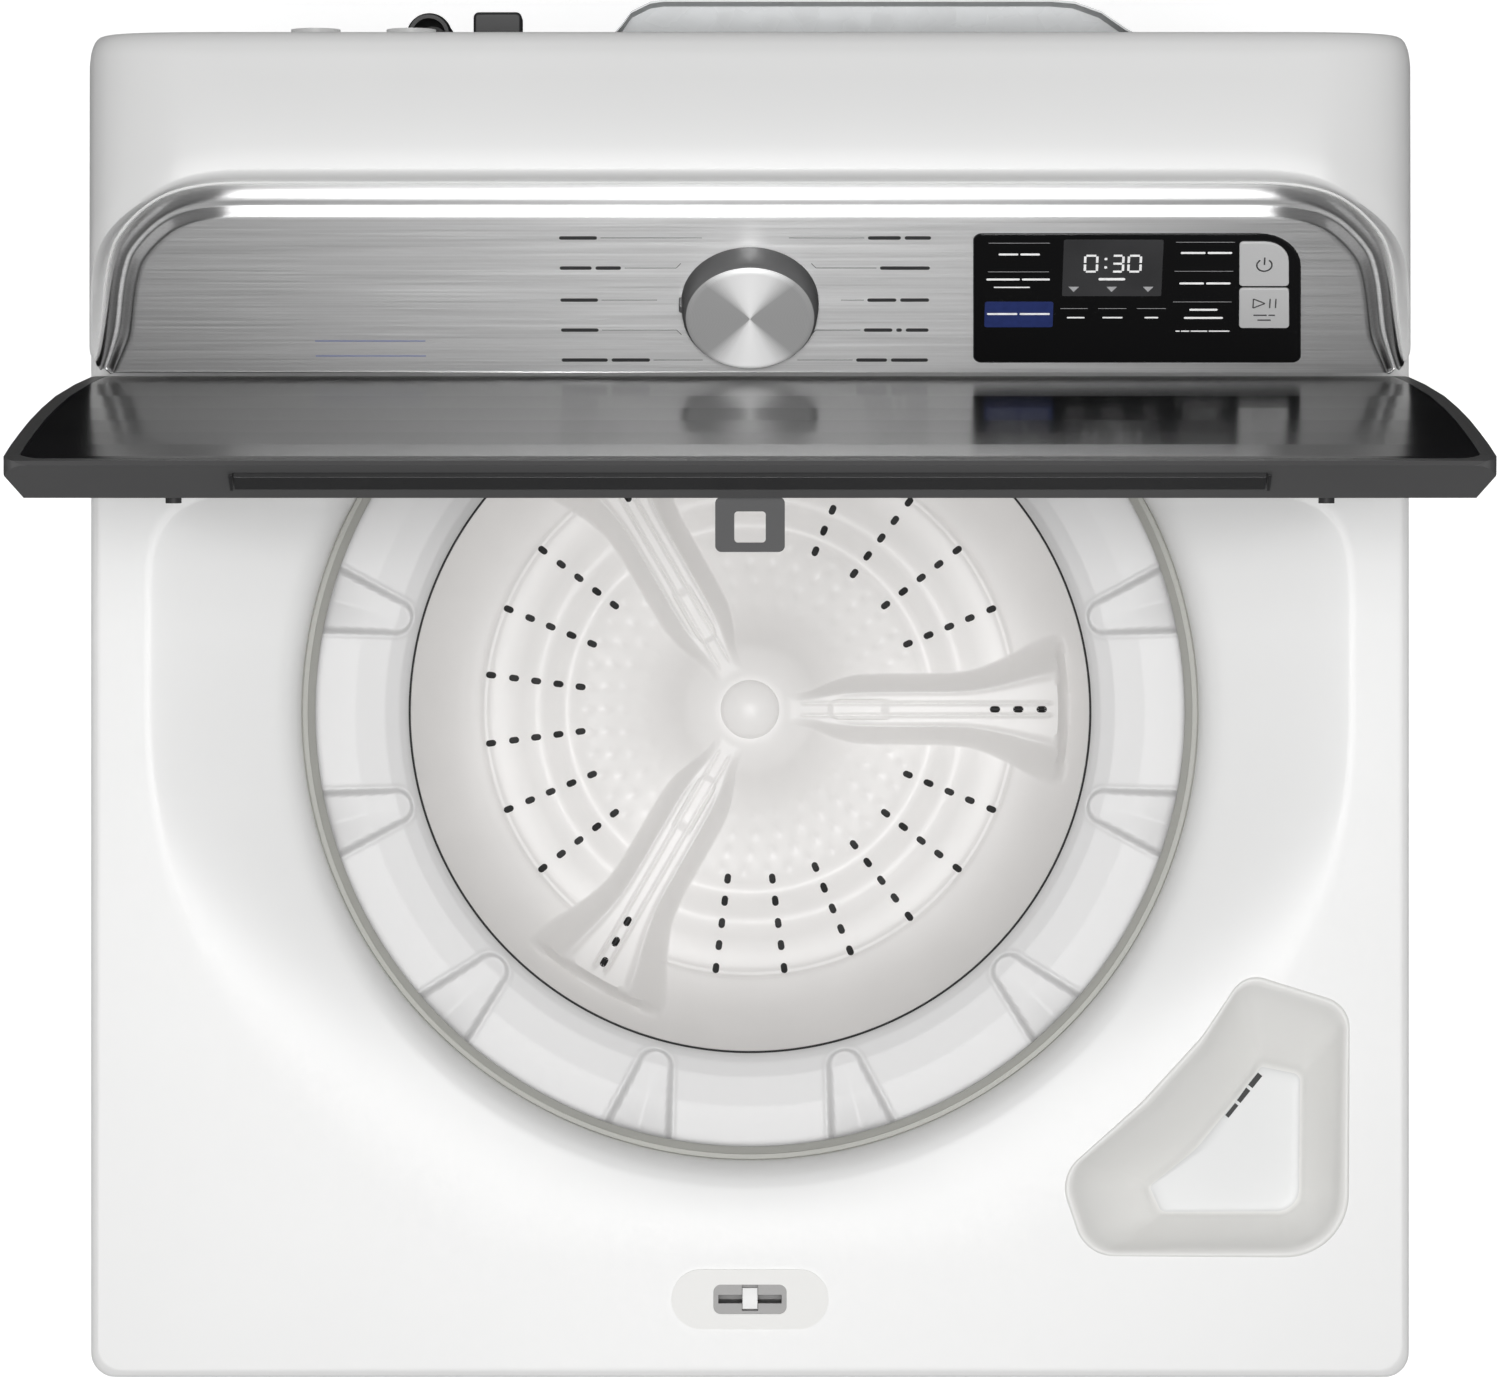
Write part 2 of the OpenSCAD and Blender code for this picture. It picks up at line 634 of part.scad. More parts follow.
module outer_tub() color([0.85, 0.86, 0.86]) {
    difference() {
        union() {
            on_axis() rotate_extrude($fn = 128) polygon([
                [46, tub_floor], [tub_r - 12, tub_floor], [tub_r + 4, tub_floor + 14], [tub_r + 4, tub_top],
                [tub_r, tub_top], [tub_r, tub_floor + 16], [tub_r - 13, tub_floor + 4], [46, tub_floor + 4]
            ]);
            for (x = [-1, 1], y = [-1, 1]) on_axis(lug_z)
                rotate([0, 0, atan2(y * lug_half, x * (lug_half + 10))])
                    translate([tub_r + 2, -20, 0]) cube([148, 40, 12]);
            translate([pump_xy[0], pump_xy[1], tub_floor - 26]) cylinder(r = 20, h = 27, $fn = 48);
            for (a = [90:120:330]) on_axis(242) rotate([0, 0, a]) translate([150, 0, 0])
                cylinder(r = 7, h = 77, $fn = 32);
            on_axis(lug_z + 5) rotate([0, 0, 51.5]) translate([tub_r + 2, -14, 0]) cube([52, 28, 40]);
        }
        at_lugs() translate([0, 0, lug_z - 5]) cylinder(r = rod_r + 2, h = 30, $fn = 48);
        translate([pump_xy[0], pump_xy[1], tub_floor - 30]) cylinder(r = 16, h = 40, $fn = 48);
    }
}

module tub_cover_ring() color([0.88, 0.88, 0.87]) on_axis() rotate_extrude($fn = 128) polygon([
    [opening_r + 7, cover_z], [opening_r + 20, cover_z], [tub_r + 4.4, cover_z - 6],
    [tub_r + 4.4, tub_top - 12], [tub_r + 8, tub_top - 12], [tub_r + 8, cover_z - 3],
    [opening_r + 20, cover_z + 3], [opening_r + 7, cover_z + 3]
]);

module basket() color([0.8, 0.8, 0.8]) on_axis() {
    difference() {
        rotate_extrude($fn = 128) polygon([
            [40, basket_floor], [basket_r - 20, basket_floor], [basket_r - 4, basket_floor + 6],
            [basket_r + 1, basket_floor + 22], [basket_r + 1, ring_top - 36], [basket_r, ring_top - 36],
            [basket_r, basket_floor + 22.5], [basket_r - 5, basket_floor + 8],
            [basket_r - 20.5, basket_floor + 2], [40, basket_floor + 2]
        ]);
        for (a = [0:30:330]) rotate([0, 0, a]) translate([180, 0, basket_floor - 2])
            cylinder(r = 4, h = 8, $fn = 24);
    }
}

module basket_hub() color([0.7, 0.71, 0.72]) on_axis() difference() {
    union() {
        translate([0, 0, 196]) cylinder(r = spin_r, h = basket_floor - 196, $fn = 96);
        translate([0, 0, basket_floor - 10]) cylinder(r = 80, h = 10, $fn = 96);
        translate([0, 0, basket_floor - 0.1]) cylinder(r = 39.5, h = 6, $fn = 96);
    }
    translate([0, 0, 190]) cylinder(r = shaft_radius + run, h = 200, $fn = 96);
}

module balance_ring() color([0.84, 0.85, 0.86]) on_axis() difference() {
    rotate_extrude($fn = 128) polygon([
        [ring_inner_r + 3, ring_top - 38], [basket_r - 0.3, ring_top - 38], [basket_r - 0.3, ring_top - 35.9],
        [basket_r + 1.4, ring_top - 35.9], [basket_r + 1.4, ring_top - 8], [basket_r - 6, ring_top - 1],
        [basket_r - 24, ring_top], [ring_inner_r + 14, ring_top - 4], [ring_inner_r + 3, ring_top - 12]
    ]);
    for (a = [15:30:345]) rotate([0, 0, a]) translate([ring_inner_r + 18, 0, ring_top - 9]) {
        cylinder(r = 9, h = 20, $fn = 48);
        linear_extrude(20) polygon([[0, -9], [38, -16], [38, 16], [0, 9]]);
    }
}

module ring_bead() color([0.2, 0.2, 0.21]) on_axis(ring_top - 13.2)
    tube(ring_inner_r + 3, ring_inner_r + 0.6, 3);

module wash_plate() color([0.92, 0.92, 0.9]) on_axis() {
    z = basket_floor + 14;
    difference() {
        rotate_extrude($fn = 128) polygon([
            [15, z - 2], [100, z - 4], [150, z + 2],
            [plate_r, z + 28], [plate_r, z + 33], [plate_r - 4, z + 33],
            [150, z + 7], [104, z + 4], [92, z + 10], [60, z + 20], [44, z + 40], [30, z + 48], [15, z + 50]
        ]);
        for (a = [30:60:330]) rotate([0, 0, a]) translate([130, 0, z - 8]) cylinder(r = 3, h = 30, $fn = 32);
    }
    for (a = [0, 120, 240]) rotate([0, 0, a]) intersection() {
        translate([0, 0, z]) linear_extrude(70) polygon([
            [20, 9], [60, 17], [66, 20], [125, 21], [150, 29], [184, 46], [192, 44], [192, -44], [184, -46],
            [150, -29], [125, -21], [66, -20], [60, -17], [20, -9]
        ]);
        rotate_extrude($fn = 96) polygon([
            [18, z + 5], [44, z + 5], [100, z + 2], [150, z + 4], [200, z + 18], [200, z + 26], [186, z + 42],
            [140, z + 46], [80, z + 46], [40, z + 50], [18, z + 52]
        ]);
    }
}

module wash_plate_cap() color([0.95, 0.95, 0.93]) on_axis(basket_floor + 62) {
    intersection() {
        translate([0, 0, -26]) sphere(r = 34, $fn = 96);
        translate([0, 0, 2]) cylinder(r = 18, h = 20, $fn = 64);
    }
}

module drive_shaft() color([0.6, 0.6, 0.62]) on_axis() {
    translate([0, 0, 172]) cylinder(r = shaft_radius, h = basket_floor + 48 - 172, $fn = 64);
    translate([0, 0, basket_floor + 7]) cylinder(r = 14.8, h = 44, $fn = 64);
    translate([0, 0, basket_floor + 50]) cylinder(r = 10, h = 8, $fn = 6);
}

module tub_bearings() color([0.62, 0.63, 0.66]) on_axis() {
    for (z = [262, 300]) translate([0, 0, z]) tube(31, spin_r + run, 16);
}

module bearing_housing() color([0.66, 0.67, 0.68]) on_axis() {
    rotate_extrude($fn = 96) polygon([
        [31, 255], [31, tub_floor], [80, tub_floor], [80, tub_floor - 6], [45, tub_floor - 12],
        [45, 252], [62, 248], [62, 240], [34, 240], [34, 255]
    ]);
    for (a = [0:60:300]) rotate([0, 0, a]) translate([44, -3, 246]) cube([16, 6, 70]);
}

module shaft_seal() color([0.12, 0.12, 0.13]) on_axis(tub_floor) tube(45.8, spin_r + run, 8);

module stator() color([0.55, 0.35, 0.2]) on_axis(192) {
    tube(98, 60, 48);
    for (a = [0:20:340]) rotate([0, 0, a]) {
        translate([90, -6, 8]) cube([32, 12, 32]);
        intersection() {
            translate([118, -18, 8]) cube([20, 36, 32]);
            difference() {
                cylinder(r = 128, h = 48, $fn = 96);
                translate([0, 0, -1]) cylinder(r = 121, h = 50, $fn = 96);
            }
        }
    }
}

module rotor() color([0.35, 0.36, 0.38]) on_axis() rotate_extrude($fn = 128) polygon([
    [shaft_radius, 176], [24, 176], [30, 182], [132, 182], [136, 186], [136, 240], [129, 240], [129, 188],
    [28, 188], [22, 190], [shaft_radius, 190]
]);

module clutch_slider() color([0.7, 0.66, 0.5]) on_axis(197) tube(29, spin_r + run, 14);

module motor_cover() color([0.25, 0.25, 0.26]) on_axis() difference() {
    rotate_extrude($fn = 96) polygon([
        [0, 160], [120, 160], [142, 168], [142, 236], [160, 240], [160, 242], [140, 242], [140, 170],
        [119, 162.5], [0, 162.5]
    ]);
    for (a = [0:45:315]) rotate([0, 0, a]) translate([80, -6, 155]) cube([30, 12, 12]);
}

// ---- water ----

module drain_pump() color([0.3, 0.3, 0.31]) translate([pump_xy[0], pump_xy[1], 0]) {
    difference() {
        union() {
            translate([0, 0, 96]) cylinder(r = 42, h = 44, $fn = 64);
            translate([0, 0, 139.9]) cylinder(r = 20, h = 22, $fn = 48);
            translate([0, 0, frame_z + 3]) cylinder(r = 30, h = 72, $fn = 64);
            translate([0, 26, 118]) rotate([0, -90, 0]) cylinder(r = 13, h = 60, $fn = 48);
        }
        translate([0, 0, 100]) cylinder(r = 37, h = 36, $fn = 64);
        translate([0, 0, 120]) cylinder(r = 15, h = 60, $fn = 48);
        translate([-20, 26, 118]) rotate([0, -90, 0]) cylinder(r = 10, h = 60, $fn = 48);
        translate([0, 0, 80]) cylinder(r = shaft_r + run, h = 40, $fn = 48);
    }
}

module pump_impeller() color([0.85, 0.85, 0.85]) translate([pump_xy[0], pump_xy[1], 0]) {
    translate([0, 0, 82]) cylinder(r = shaft_r, h = 30, $fn = 48);
    translate([0, 0, 104]) cylinder(r = 8, h = 22, $fn = 48);
    for (a = [0:60:300]) rotate([0, 0, a]) translate([6, -1.2, 106]) cube([24, 2.4, 18]);
}

module sump_bellows() color([0.12, 0.12, 0.12]) translate([pump_xy[0], pump_xy[1], 0])
    rotate_extrude($fn = 64) polygon(concat(
        [[20.6, 304], [20.6, 150], [24, 150], [24, 164]],
        [for (i = [0:13]) [24 + 5 * (i % 2), 170 + 8 * i]],
        [[24, 280], [24, 304]]
    ));

module drain_hose() color([0.25, 0.25, 0.26]) sweep([
    [-210.3, 214, 118], [-217, 214, 118], [-227, 219, 119], [-234, 231, 124], [-236, 246, 134],
    [-236, 262, 150], [-234, 274, 175],
    [-231, 282, 210], [-228, 288, 260], [-224, 294, 340], [-218, 297, 440], [-210, 299, 540],
    [-200, 300, 640], [-190, 301, 720], [-181, 303, 770], [-176, 307, 798], [-173.6, 314, 813],
    [-173, 321, 819], [-173, 327, 820], [-173, 332.6, 820]
], 12.9, 10);

module drain_elbow() color([0.06, 0.06, 0.065]) translate([elbow_x, 0, elbow_z]) {
    difference() {
        union() {
            translate([0, 332, -42]) rotate([-90, 0, 0]) cylinder(r = 14.8, h = 19, $fn = 64);
            translate([-20.5, 340, -62]) cube([41, 3, 40]);
            translate([0, 352, -42]) sphere(r = 12.8, $fn = 64);
            translate([0, 352, -42]) cylinder(r = 11, h = 52, $fn = 64);
            for (z = [-8, 2]) translate([0, 352, z]) cylinder(r1 = 12.4, r2 = 11, h = 5, $fn = 64);
        }
        translate([0, 333, -42]) rotate([-90, 0, 0]) cylinder(r = 9, h = 19, $fn = 48);
        translate([0, 352, -42]) cylinder(r = 9, h = 60, $fn = 48);
        translate([0, 331, -42]) rotate([-90, 0, 0]) cylinder(r = 13, h = 3, $fn = 48);
    }
}

module inlet_valve() color([0.9, 0.9, 0.9]) {
    difference() {
        union() {
            translate([-250, 298, port_z - 20]) cube([88, 40.7, 40]);
            for (x = port_x) translate([x, 338, port_z]) rotate([-90, 0, 0]) {
                cylinder(r = port_r + 1, h = 3.2, $fn = 64);
                cylinder(r = port_r, h = 14, $fn = 64);
            }
        }
        for (x = port_x) translate([x, 320, port_z]) rotate([-90, 0, 0]) cylinder(r = 9, h = 40, $fn = 48);
    }
    for (x = port_x) translate([x, 312, port_z - 52]) cylinder(r = 14, h = 33, $fn = 48);
}

module inlet_nozzle() color([0.88, 0.88, 0.88]) {
    translate([-225, 215, deck_h - 30]) cube([40, 83, 16]);
    translate([-217, 190, deck_h - 34]) cube([24, 30, 20]);
}

module pressure_tube() color([0.15, 0.15, 0.15]) translate([tube_xy[0], tube_xy[1], lug_z + 45.4])
    cylinder(r = 4, h = deck_h + 62 - lug_z - 45.4, $fn = 24);

// ---- suspension ----

module suspension_rods() color([0.6, 0.6, 0.6]) {
    at_lugs() {
        translate([0, 0, spring_foot - 8]) cylinder(r = rod_r, h = deck_h - 40 - spring_foot + 8, $fn = 48);
        translate([0, 0, spring_foot - 10]) cylinder(r = 17, h = 10, $fn = 48);
        translate([0, 0, deck_h - 42]) sphere(r = 9, $fn = 48);
    }
    for (x = [-1, 1], y = [-lug_half, lug_half])
        translate([x * 321.4 - 25.4, axis_y + y - 20, deck_h - 60]) cube([50.8, 40, 12]);
}

module suspension_springs() color([0.45, 0.45, 0.47]) {
    turns = 6;
    steps = 11;
    span = lug_z - spring_foot - 2 * spring_wire - 0.6;
    at_lugs() translate([0, 0, spring_foot + spring_wire + 0.3])
        sweep([for (i = [0:turns * steps])
            let (a = 360 * i / steps)
            [spring_r * cos(a), spring_r * sin(a), span * i / turns / steps]], spring_wire, 6);
}

// ---- power cord ----

module cord_strain_relief() color([0.06, 0.06, 0.06]) {
    translate([relief_x, 353, 0]) {
        translate([0, 0, 846]) linear_extrude(24) slab(-13, -12, 13, 11.5, 3);
        translate([0, 0, 815]) cylinder(r1 = cord_d / 2 + 0.8, r2 = 8.5, h = 31.1, $fn = 64);
    }
}

module power_cord() color([0.05, 0.05, 0.05]) {
    sweep(cord_out, cord_d / 2, 10);
    sweep(cord_in, cord_d / 2, 10);
}

module cord_hank() color([0.05, 0.05, 0.05]) {
    r = hank_turn + cord_d / 2;
    translate([hank_x, hank_back + hank_thick, hank_z]) rotate([90, 0, 0]) linear_extrude(hank_thick) {
        translate([-r, -hank_run / 2]) square([2 * r, hank_run]);
        for (s = [-1, 1]) translate([0, s * hank_run / 2]) circle(r = r, $fn = 64);
    }
}

module cord_tie() color([0.1, 0.1, 0.1]) {
    r = hank_turn + cord_d / 2;
    y0 = hank_back - 1;
    y1 = hank_back + hank_thick;
    translate([0, 0, hank_z - 5]) linear_extrude(10) difference() {
        slab(hank_x - r - 2, y0, hank_x + r + 2, y1 + 1.6, 2);
        translate([hank_x - r, y0 + 1]) square([2 * r, y1 - y0 - 1]);
    }
    translate([hank_x, 341, hank_z]) rotate([-90, 0, 0]) cylinder(r = 6, h = y0 - 341, $fn = 32);
}

module power_plug() color([0.05, 0.05, 0.05]) {
    translate([-148, 351.8, 507.6]) {
        linear_extrude(26) slab(-13, -9, 13, 9, 6);
        translate([0, 0, 26]) cylinder(r1 = 8.6, r2 = 4.6, h = 16, $fn = 64);
        for (x = [-6.35, 6.35]) translate([x - 0.8, -3.2, -17]) cube([1.6, 6.4, 18]);
        translate([0, -6, -20]) cylinder(r = 2.4, h = 21, $fn = 32);
    }
}

cabinet_wrap();
base_frame();
leveling_feet();
foot_locknuts();
rear_panel();
rear_panel_screws();
access_plug();
top_panel();
opening_trim();
dispenser_cup();
lid_lock_bezel();
lid_lock_housing();
lid_lock_bolt();
hinge_brackets();
hinge_pins();
lid_frame();
lid_glass();
lid_inner_panel();
lid_hinge_arms();
lid_strike();
lid_bumpers();
console_housing();
console_fascia();
display_panel();
control_board();
power_button();
start_button();
selector_knob();
knob_encoder();
outer_tub();
tub_cover_ring();
basket();
basket_hub();
balance_ring();
ring_bead();
wash_plate();
wash_plate_cap();
drive_shaft();
tub_bearings();
bearing_housing();
shaft_seal();
stator();
rotor();
clutch_slider();
motor_cover();
drain_pump();
pump_impeller();
sump_bellows();
drain_hose();
drain_elbow();
inlet_valve();
inlet_nozzle();
pressure_tube();
suspension_rods();
suspension_springs();
cord_strain_relief();
power_cord();
cord_hank();
cord_tie();
power_plug();
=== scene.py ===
"""Looks of the top load washing machine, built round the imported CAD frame. Blender 4.5, metres."""

import json
import math

import bmesh
import bpy
from mathutils import Matrix, Vector


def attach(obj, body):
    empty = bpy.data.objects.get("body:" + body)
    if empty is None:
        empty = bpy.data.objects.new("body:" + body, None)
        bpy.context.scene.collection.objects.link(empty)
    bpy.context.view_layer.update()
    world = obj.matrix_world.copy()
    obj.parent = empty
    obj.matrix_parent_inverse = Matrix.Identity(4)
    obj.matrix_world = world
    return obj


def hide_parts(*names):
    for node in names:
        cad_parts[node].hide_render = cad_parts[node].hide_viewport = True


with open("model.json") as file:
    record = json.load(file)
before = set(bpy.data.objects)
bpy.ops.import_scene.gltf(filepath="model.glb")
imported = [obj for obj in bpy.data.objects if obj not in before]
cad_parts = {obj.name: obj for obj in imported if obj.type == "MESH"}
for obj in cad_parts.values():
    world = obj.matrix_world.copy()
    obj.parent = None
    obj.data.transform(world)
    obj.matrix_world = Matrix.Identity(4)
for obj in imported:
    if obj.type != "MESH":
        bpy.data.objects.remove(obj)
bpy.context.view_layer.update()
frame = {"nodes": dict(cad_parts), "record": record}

MM = 0.001
AXIS_Y = -12.5
DECK = 938.0
HALF_W = 349.25
FRONT_Y = -365.0
REAR_Y = 337.5


# ---------------------------------------------------------------- meshes

def mesh_object(name, verts, faces, smooth):
    """A mesh from points in millimetres, in the scene."""
    mesh = bpy.data.meshes.new(name)
    mesh.from_pydata([(x * MM, y * MM, z * MM) for x, y, z in verts], [], faces)
    mesh.validate()
    obj = bpy.data.objects.new(name, mesh)
    bpy.context.scene.collection.objects.link(obj)
    finish_mesh(obj, smooth)
    return obj


def make(name, verts, faces, body, material, smooth=35.0, place=None):
    """A piece with its material, riding on a body."""
    obj = mesh_object(name, verts, faces, smooth)
    if place is not None:
        obj.matrix_world = place
    obj.data.materials.append(material)
    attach(obj, body)
    return obj


def finish_mesh(obj, smooth):
    """Outward normals, and edges sharper than the angle left sharp."""
    bm = bmesh.new()
    bm.from_mesh(obj.data)
    bmesh.ops.remove_doubles(bm, verts=bm.verts, dist=1e-6)
    bmesh.ops.recalc_face_normals(bm, faces=bm.faces)
    limit = math.radians(smooth)
    for face in bm.faces:
        face.smooth = smooth > 0
    for edge in bm.edges:
        edge.smooth = len(edge.link_faces) == 2 and edge.calc_face_angle(0) < limit
    bm.to_mesh(obj.data)
    bm.free()


def add_bevel(obj, width, segments=3):
    """Rounds the edges of a piece."""
    bevel = obj.modifiers.new("edges", "BEVEL")
    bevel.width = width * MM
    bevel.segments = segments
    bevel.limit_method = "ANGLE"
    bevel.angle_limit = math.radians(30.0)
    bevel.use_clamp_overlap = True
    bevel.harden_normals = True


def thicken(obj, wall, offset=-1.0):
    """Gives a surface its wall, in millimetres."""
    shell = obj.modifiers.new("wall", "SOLIDIFY")
    shell.thickness = wall * MM
    shell.offset = offset
    return shell


def flatten(rows):
    return [p for row in rows for p in row]


def polar(a, r):
    """A point at an angle and a distance from the wash axis."""
    return (r * math.cos(a), AXIS_Y + r * math.sin(a))


def circle_angles(n):
    return [2 * math.pi * i / n for i in range(n)]


def ring_faces(rows, count, closed=True, wrap=False):
    """Quads between rows of count points each, wrap joining the last row to the first."""
    faces = []
    last = rows if wrap else rows - 1
    for j in range(last):
        for i in range(count if closed else count - 1):
            k = (i + 1) % count
            a = j * count
            b = ((j + 1) % rows) * count
            faces.append((a + i, a + k, b + k, b + i))
    return faces


def end_face(rows, count):
    """The face that closes the last row."""
    return tuple((rows - 1) * count + i for i in range(count))


def web_faces(rows):
    """Quads between open rows, and a web across the last one from side to side."""
    n = len(rows[0])
    faces = ring_faces(len(rows), n, closed=False)
    last = (len(rows) - 1) * n
    for i in range(n // 2 - 1):
        faces.append((last + i, last + i + 1, last + n - 2 - i, last + n - 1 - i))
    return faces


def stack(name, outlines, body, material):
    """A closed solid through outlines of equal length: rows of (x, y, z) points."""
    count = len(outlines[0])
    faces = ring_faces(len(outlines), count)
    faces.append(tuple(range(count - 1, -1, -1)))
    faces.append(end_face(len(outlines), count))
    return make(name, flatten(outlines), faces, body, material)


def lathe(name, profile, body, material, n=160, wrap=False, smooth=35.0):
    """Revolves (radius, height) points about the wash axis."""
    verts = [(*polar(a, r), z) for r, z in profile for a in circle_angles(n)]
    return make(name, verts, ring_faces(len(profile), n, wrap=wrap), body, material, smooth)


def arc(cx, cy, r, start, end, steps):
    """Points on an arc between two angles in degrees."""
    points = []
    for i in range(steps + 1):
        a = math.radians(start + (end - start) * i / steps)
        points.append((cx + r * math.cos(a), cy + r * math.sin(a)))
    return points


def rounded(points, radii, steps=6):
    """A polygon's outline with its corners replaced by arcs."""
    out = []
    n = len(points)
    for i, (p, r) in enumerate(zip(points, radii)):
        p = Vector(p)
        u = (Vector(points[i - 1]) - p).normalized()
        v = (Vector(points[(i + 1) % n]) - p).normalized()
        half = u.angle(v) / 2
        centre = p + (u + v).normalized() * (r / math.sin(half))
        s = p + u * (r / math.tan(half)) - centre
        e = p + v * (r / math.tan(half)) - centre
        turn = math.atan2(s.x * e.y - s.y * e.x, s.dot(e))
        for k in range(steps + 1):
            t = turn * k / steps
            out.append((
                centre.x + s.x * math.cos(t) - s.y * math.sin(t),
                centre.y + s.x * math.sin(t) + s.y * math.cos(t),
            ))
    return out


def slab(x0, y0, x1, y1, r, steps=6):
    """A rounded rectangle's outline."""
    return rounded([(x0, y0), (x1, y0), (x1, y1), (x0, y1)], [r] * 4, steps)


def smooth_line(points, per):
    """Open Catmull-Rom curve through points of any dimension, each span cut in per steps."""
    out = []
    n = len(points)
    for i in range(n - 1):
        p = [Vector(points[min(max(i + k - 1, 0), n - 1)]) for k in range(4)]
        for k in range(per):
            t = k / per
            out.append(tuple(0.5 * (
                2 * p[1] + (p[2] - p[0]) * t
                + (2 * p[0] - 5 * p[1] + 4 * p[2] - p[3]) * t * t
                + (3 * p[1] - p[0] - 3 * p[2] + p[3]) * t * t * t
            )))
    out.append(tuple(points[-1]))
    return out


def ease(low, high, x):
    """Smooth step from 0 at low to 1 at high."""
    t = min(max((x - low) / (high - low), 0.0), 1.0)
    return t * t * (3 - 2 * t)


def between(table, x):
    """Straight-line interpolation in a list of (x, y)."""
    if x <= table[0][0]:
        return table[0][1]
    for (x0, y0), (x1, y1) in zip(table, table[1:]):
        if x <= x1:
            return y0 + (y1 - y0) * (x - x0) / (x1 - x0)
    return table[-1][1]


# ---------------------------------------------------------------- materials

def node_tree(name):
    material = bpy.data.materials.new(name)
    material.use_nodes = True
    tree = material.node_tree
    return material, tree, tree.nodes["Principled BSDF"]


def noise(tree, scale, stretch=(1.0, 1.0, 1.0), detail=4.0):
    """Noise over the object's own coordinates, finer along the axes with a larger stretch."""
    coord = tree.nodes.new("ShaderNodeTexCoord")
    mapping = tree.nodes.new("ShaderNodeMapping")
    mapping.inputs["Scale"].default_value = stretch
    texture = tree.nodes.new("ShaderNodeTexNoise")
    texture.inputs["Scale"].default_value = scale
    texture.inputs["Detail"].default_value = detail
    tree.links.new(coord.outputs["Object"], mapping.inputs["Vector"])
    tree.links.new(mapping.outputs["Vector"], texture.inputs["Vector"])
    return texture


def ramp(tree, source, low, high, start=0.35, end=0.65):
    """Colours between low and high as the source goes from start to end."""
    node = tree.nodes.new("ShaderNodeValToRGB")
    node.color_ramp.elements[0].position = start
    node.color_ramp.elements[1].position = end
    node.color_ramp.elements[0].color = (*low, 1.0)
    node.color_ramp.elements[1].color = (*high, 1.0)
    tree.links.new(source, node.inputs["Fac"])
    return node.outputs["Color"]


def spread(tree, source, low, high):
    """The source's 0 to 1 mapped on low to high."""
    node = tree.nodes.new("ShaderNodeMapRange")
    node.inputs["To Min"].default_value = low
    node.inputs["To Max"].default_value = high
    tree.links.new(source, node.inputs["Value"])
    return node.outputs["Result"]


def bump(tree, shader, source, strength, distance):
    node = tree.nodes.new("ShaderNodeBump")
    node.inputs["Strength"].default_value = strength
    node.inputs["Distance"].default_value = distance
    tree.links.new(source, node.inputs["Height"])
    tree.links.new(node.outputs["Normal"], shader.inputs["Normal"])


def shade(colour, by):
    return tuple(min(c * by, 1.0) for c in colour)


def vector_math(tree, operation, first, second=None, constant=None):
    """A vector node's result, from two sources or a source and a constant."""
    node = tree.nodes.new("ShaderNodeVectorMath")
    node.operation = operation
    tree.links.new(first, node.inputs[0])
    if second:
        tree.links.new(second, node.inputs[1])
    if constant:
        node.inputs[1].default_value = constant
    return node.outputs["Vector"]


def lift(shader, colour, strength):
    """A little light of the surface's own, for what the room's white walls would add."""
    shader.inputs["Emission Color"].default_value = (*colour, 1.0)
    shader.inputs["Emission Strength"].default_value = strength


def surface(name, colour, rough, metal=0.0, vary=0.03, cloud=6.0, grain=1200.0, grain_depth=0.00003,
            grain_strength=0.25, rough_vary=0.06):
    """Painted, moulded or metal surface: slow colour drift, uneven gloss and fine grain."""
    material, tree, shader = node_tree(name)
    drift = noise(tree, cloud, detail=3.0)
    fine = noise(tree, grain, detail=3.0)
    tree.links.new(
        ramp(tree, drift.outputs["Fac"], shade(colour, 1 - vary), shade(colour, 1 + vary)),
        shader.inputs["Base Color"],
    )
    tree.links.new(
        spread(tree, fine.outputs["Fac"], max(rough - rough_vary, 0.02), rough + rough_vary),
        shader.inputs["Roughness"],
    )
    bump(tree, shader, fine.outputs["Fac"], grain_strength, grain_depth)
    shader.inputs["Metallic"].default_value = metal
    return material


def brushed(name, colour, rough, along=(3.0, 900.0, 900.0), vary=0.10, sideways=0.0):
    """Metal with fine lines along one direction; sideways spreads its gloss across lines along x."""
    material, tree, shader = node_tree(name)
    lines = noise(tree, 1.0, along, 6.0)
    fine = noise(tree, 1.0, tuple(3.1 * a for a in along), 3.0)
    tree.links.new(
        ramp(tree, lines.outputs["Fac"], shade(colour, 1 - vary), shade(colour, 1 + vary), 0.3, 0.7),
        shader.inputs["Base Color"],
    )
    tree.links.new(spread(tree, fine.outputs["Fac"], rough - 0.08, rough + 0.08), shader.inputs["Roughness"])
    bump(tree, shader, lines.outputs["Fac"], 0.3, 0.00002)
    shader.inputs["Metallic"].default_value = 1.0
    if sideways:
        normal = tree.nodes.new("ShaderNodeNewGeometry").outputs["Normal"]
        across = vector_math(tree, "CROSS_PRODUCT", normal, constant=(1.0, 0.0, 0.0))
        tree.links.new(across, shader.inputs["Tangent"])
        shader.inputs["Anisotropic"].default_value = sideways
    return material


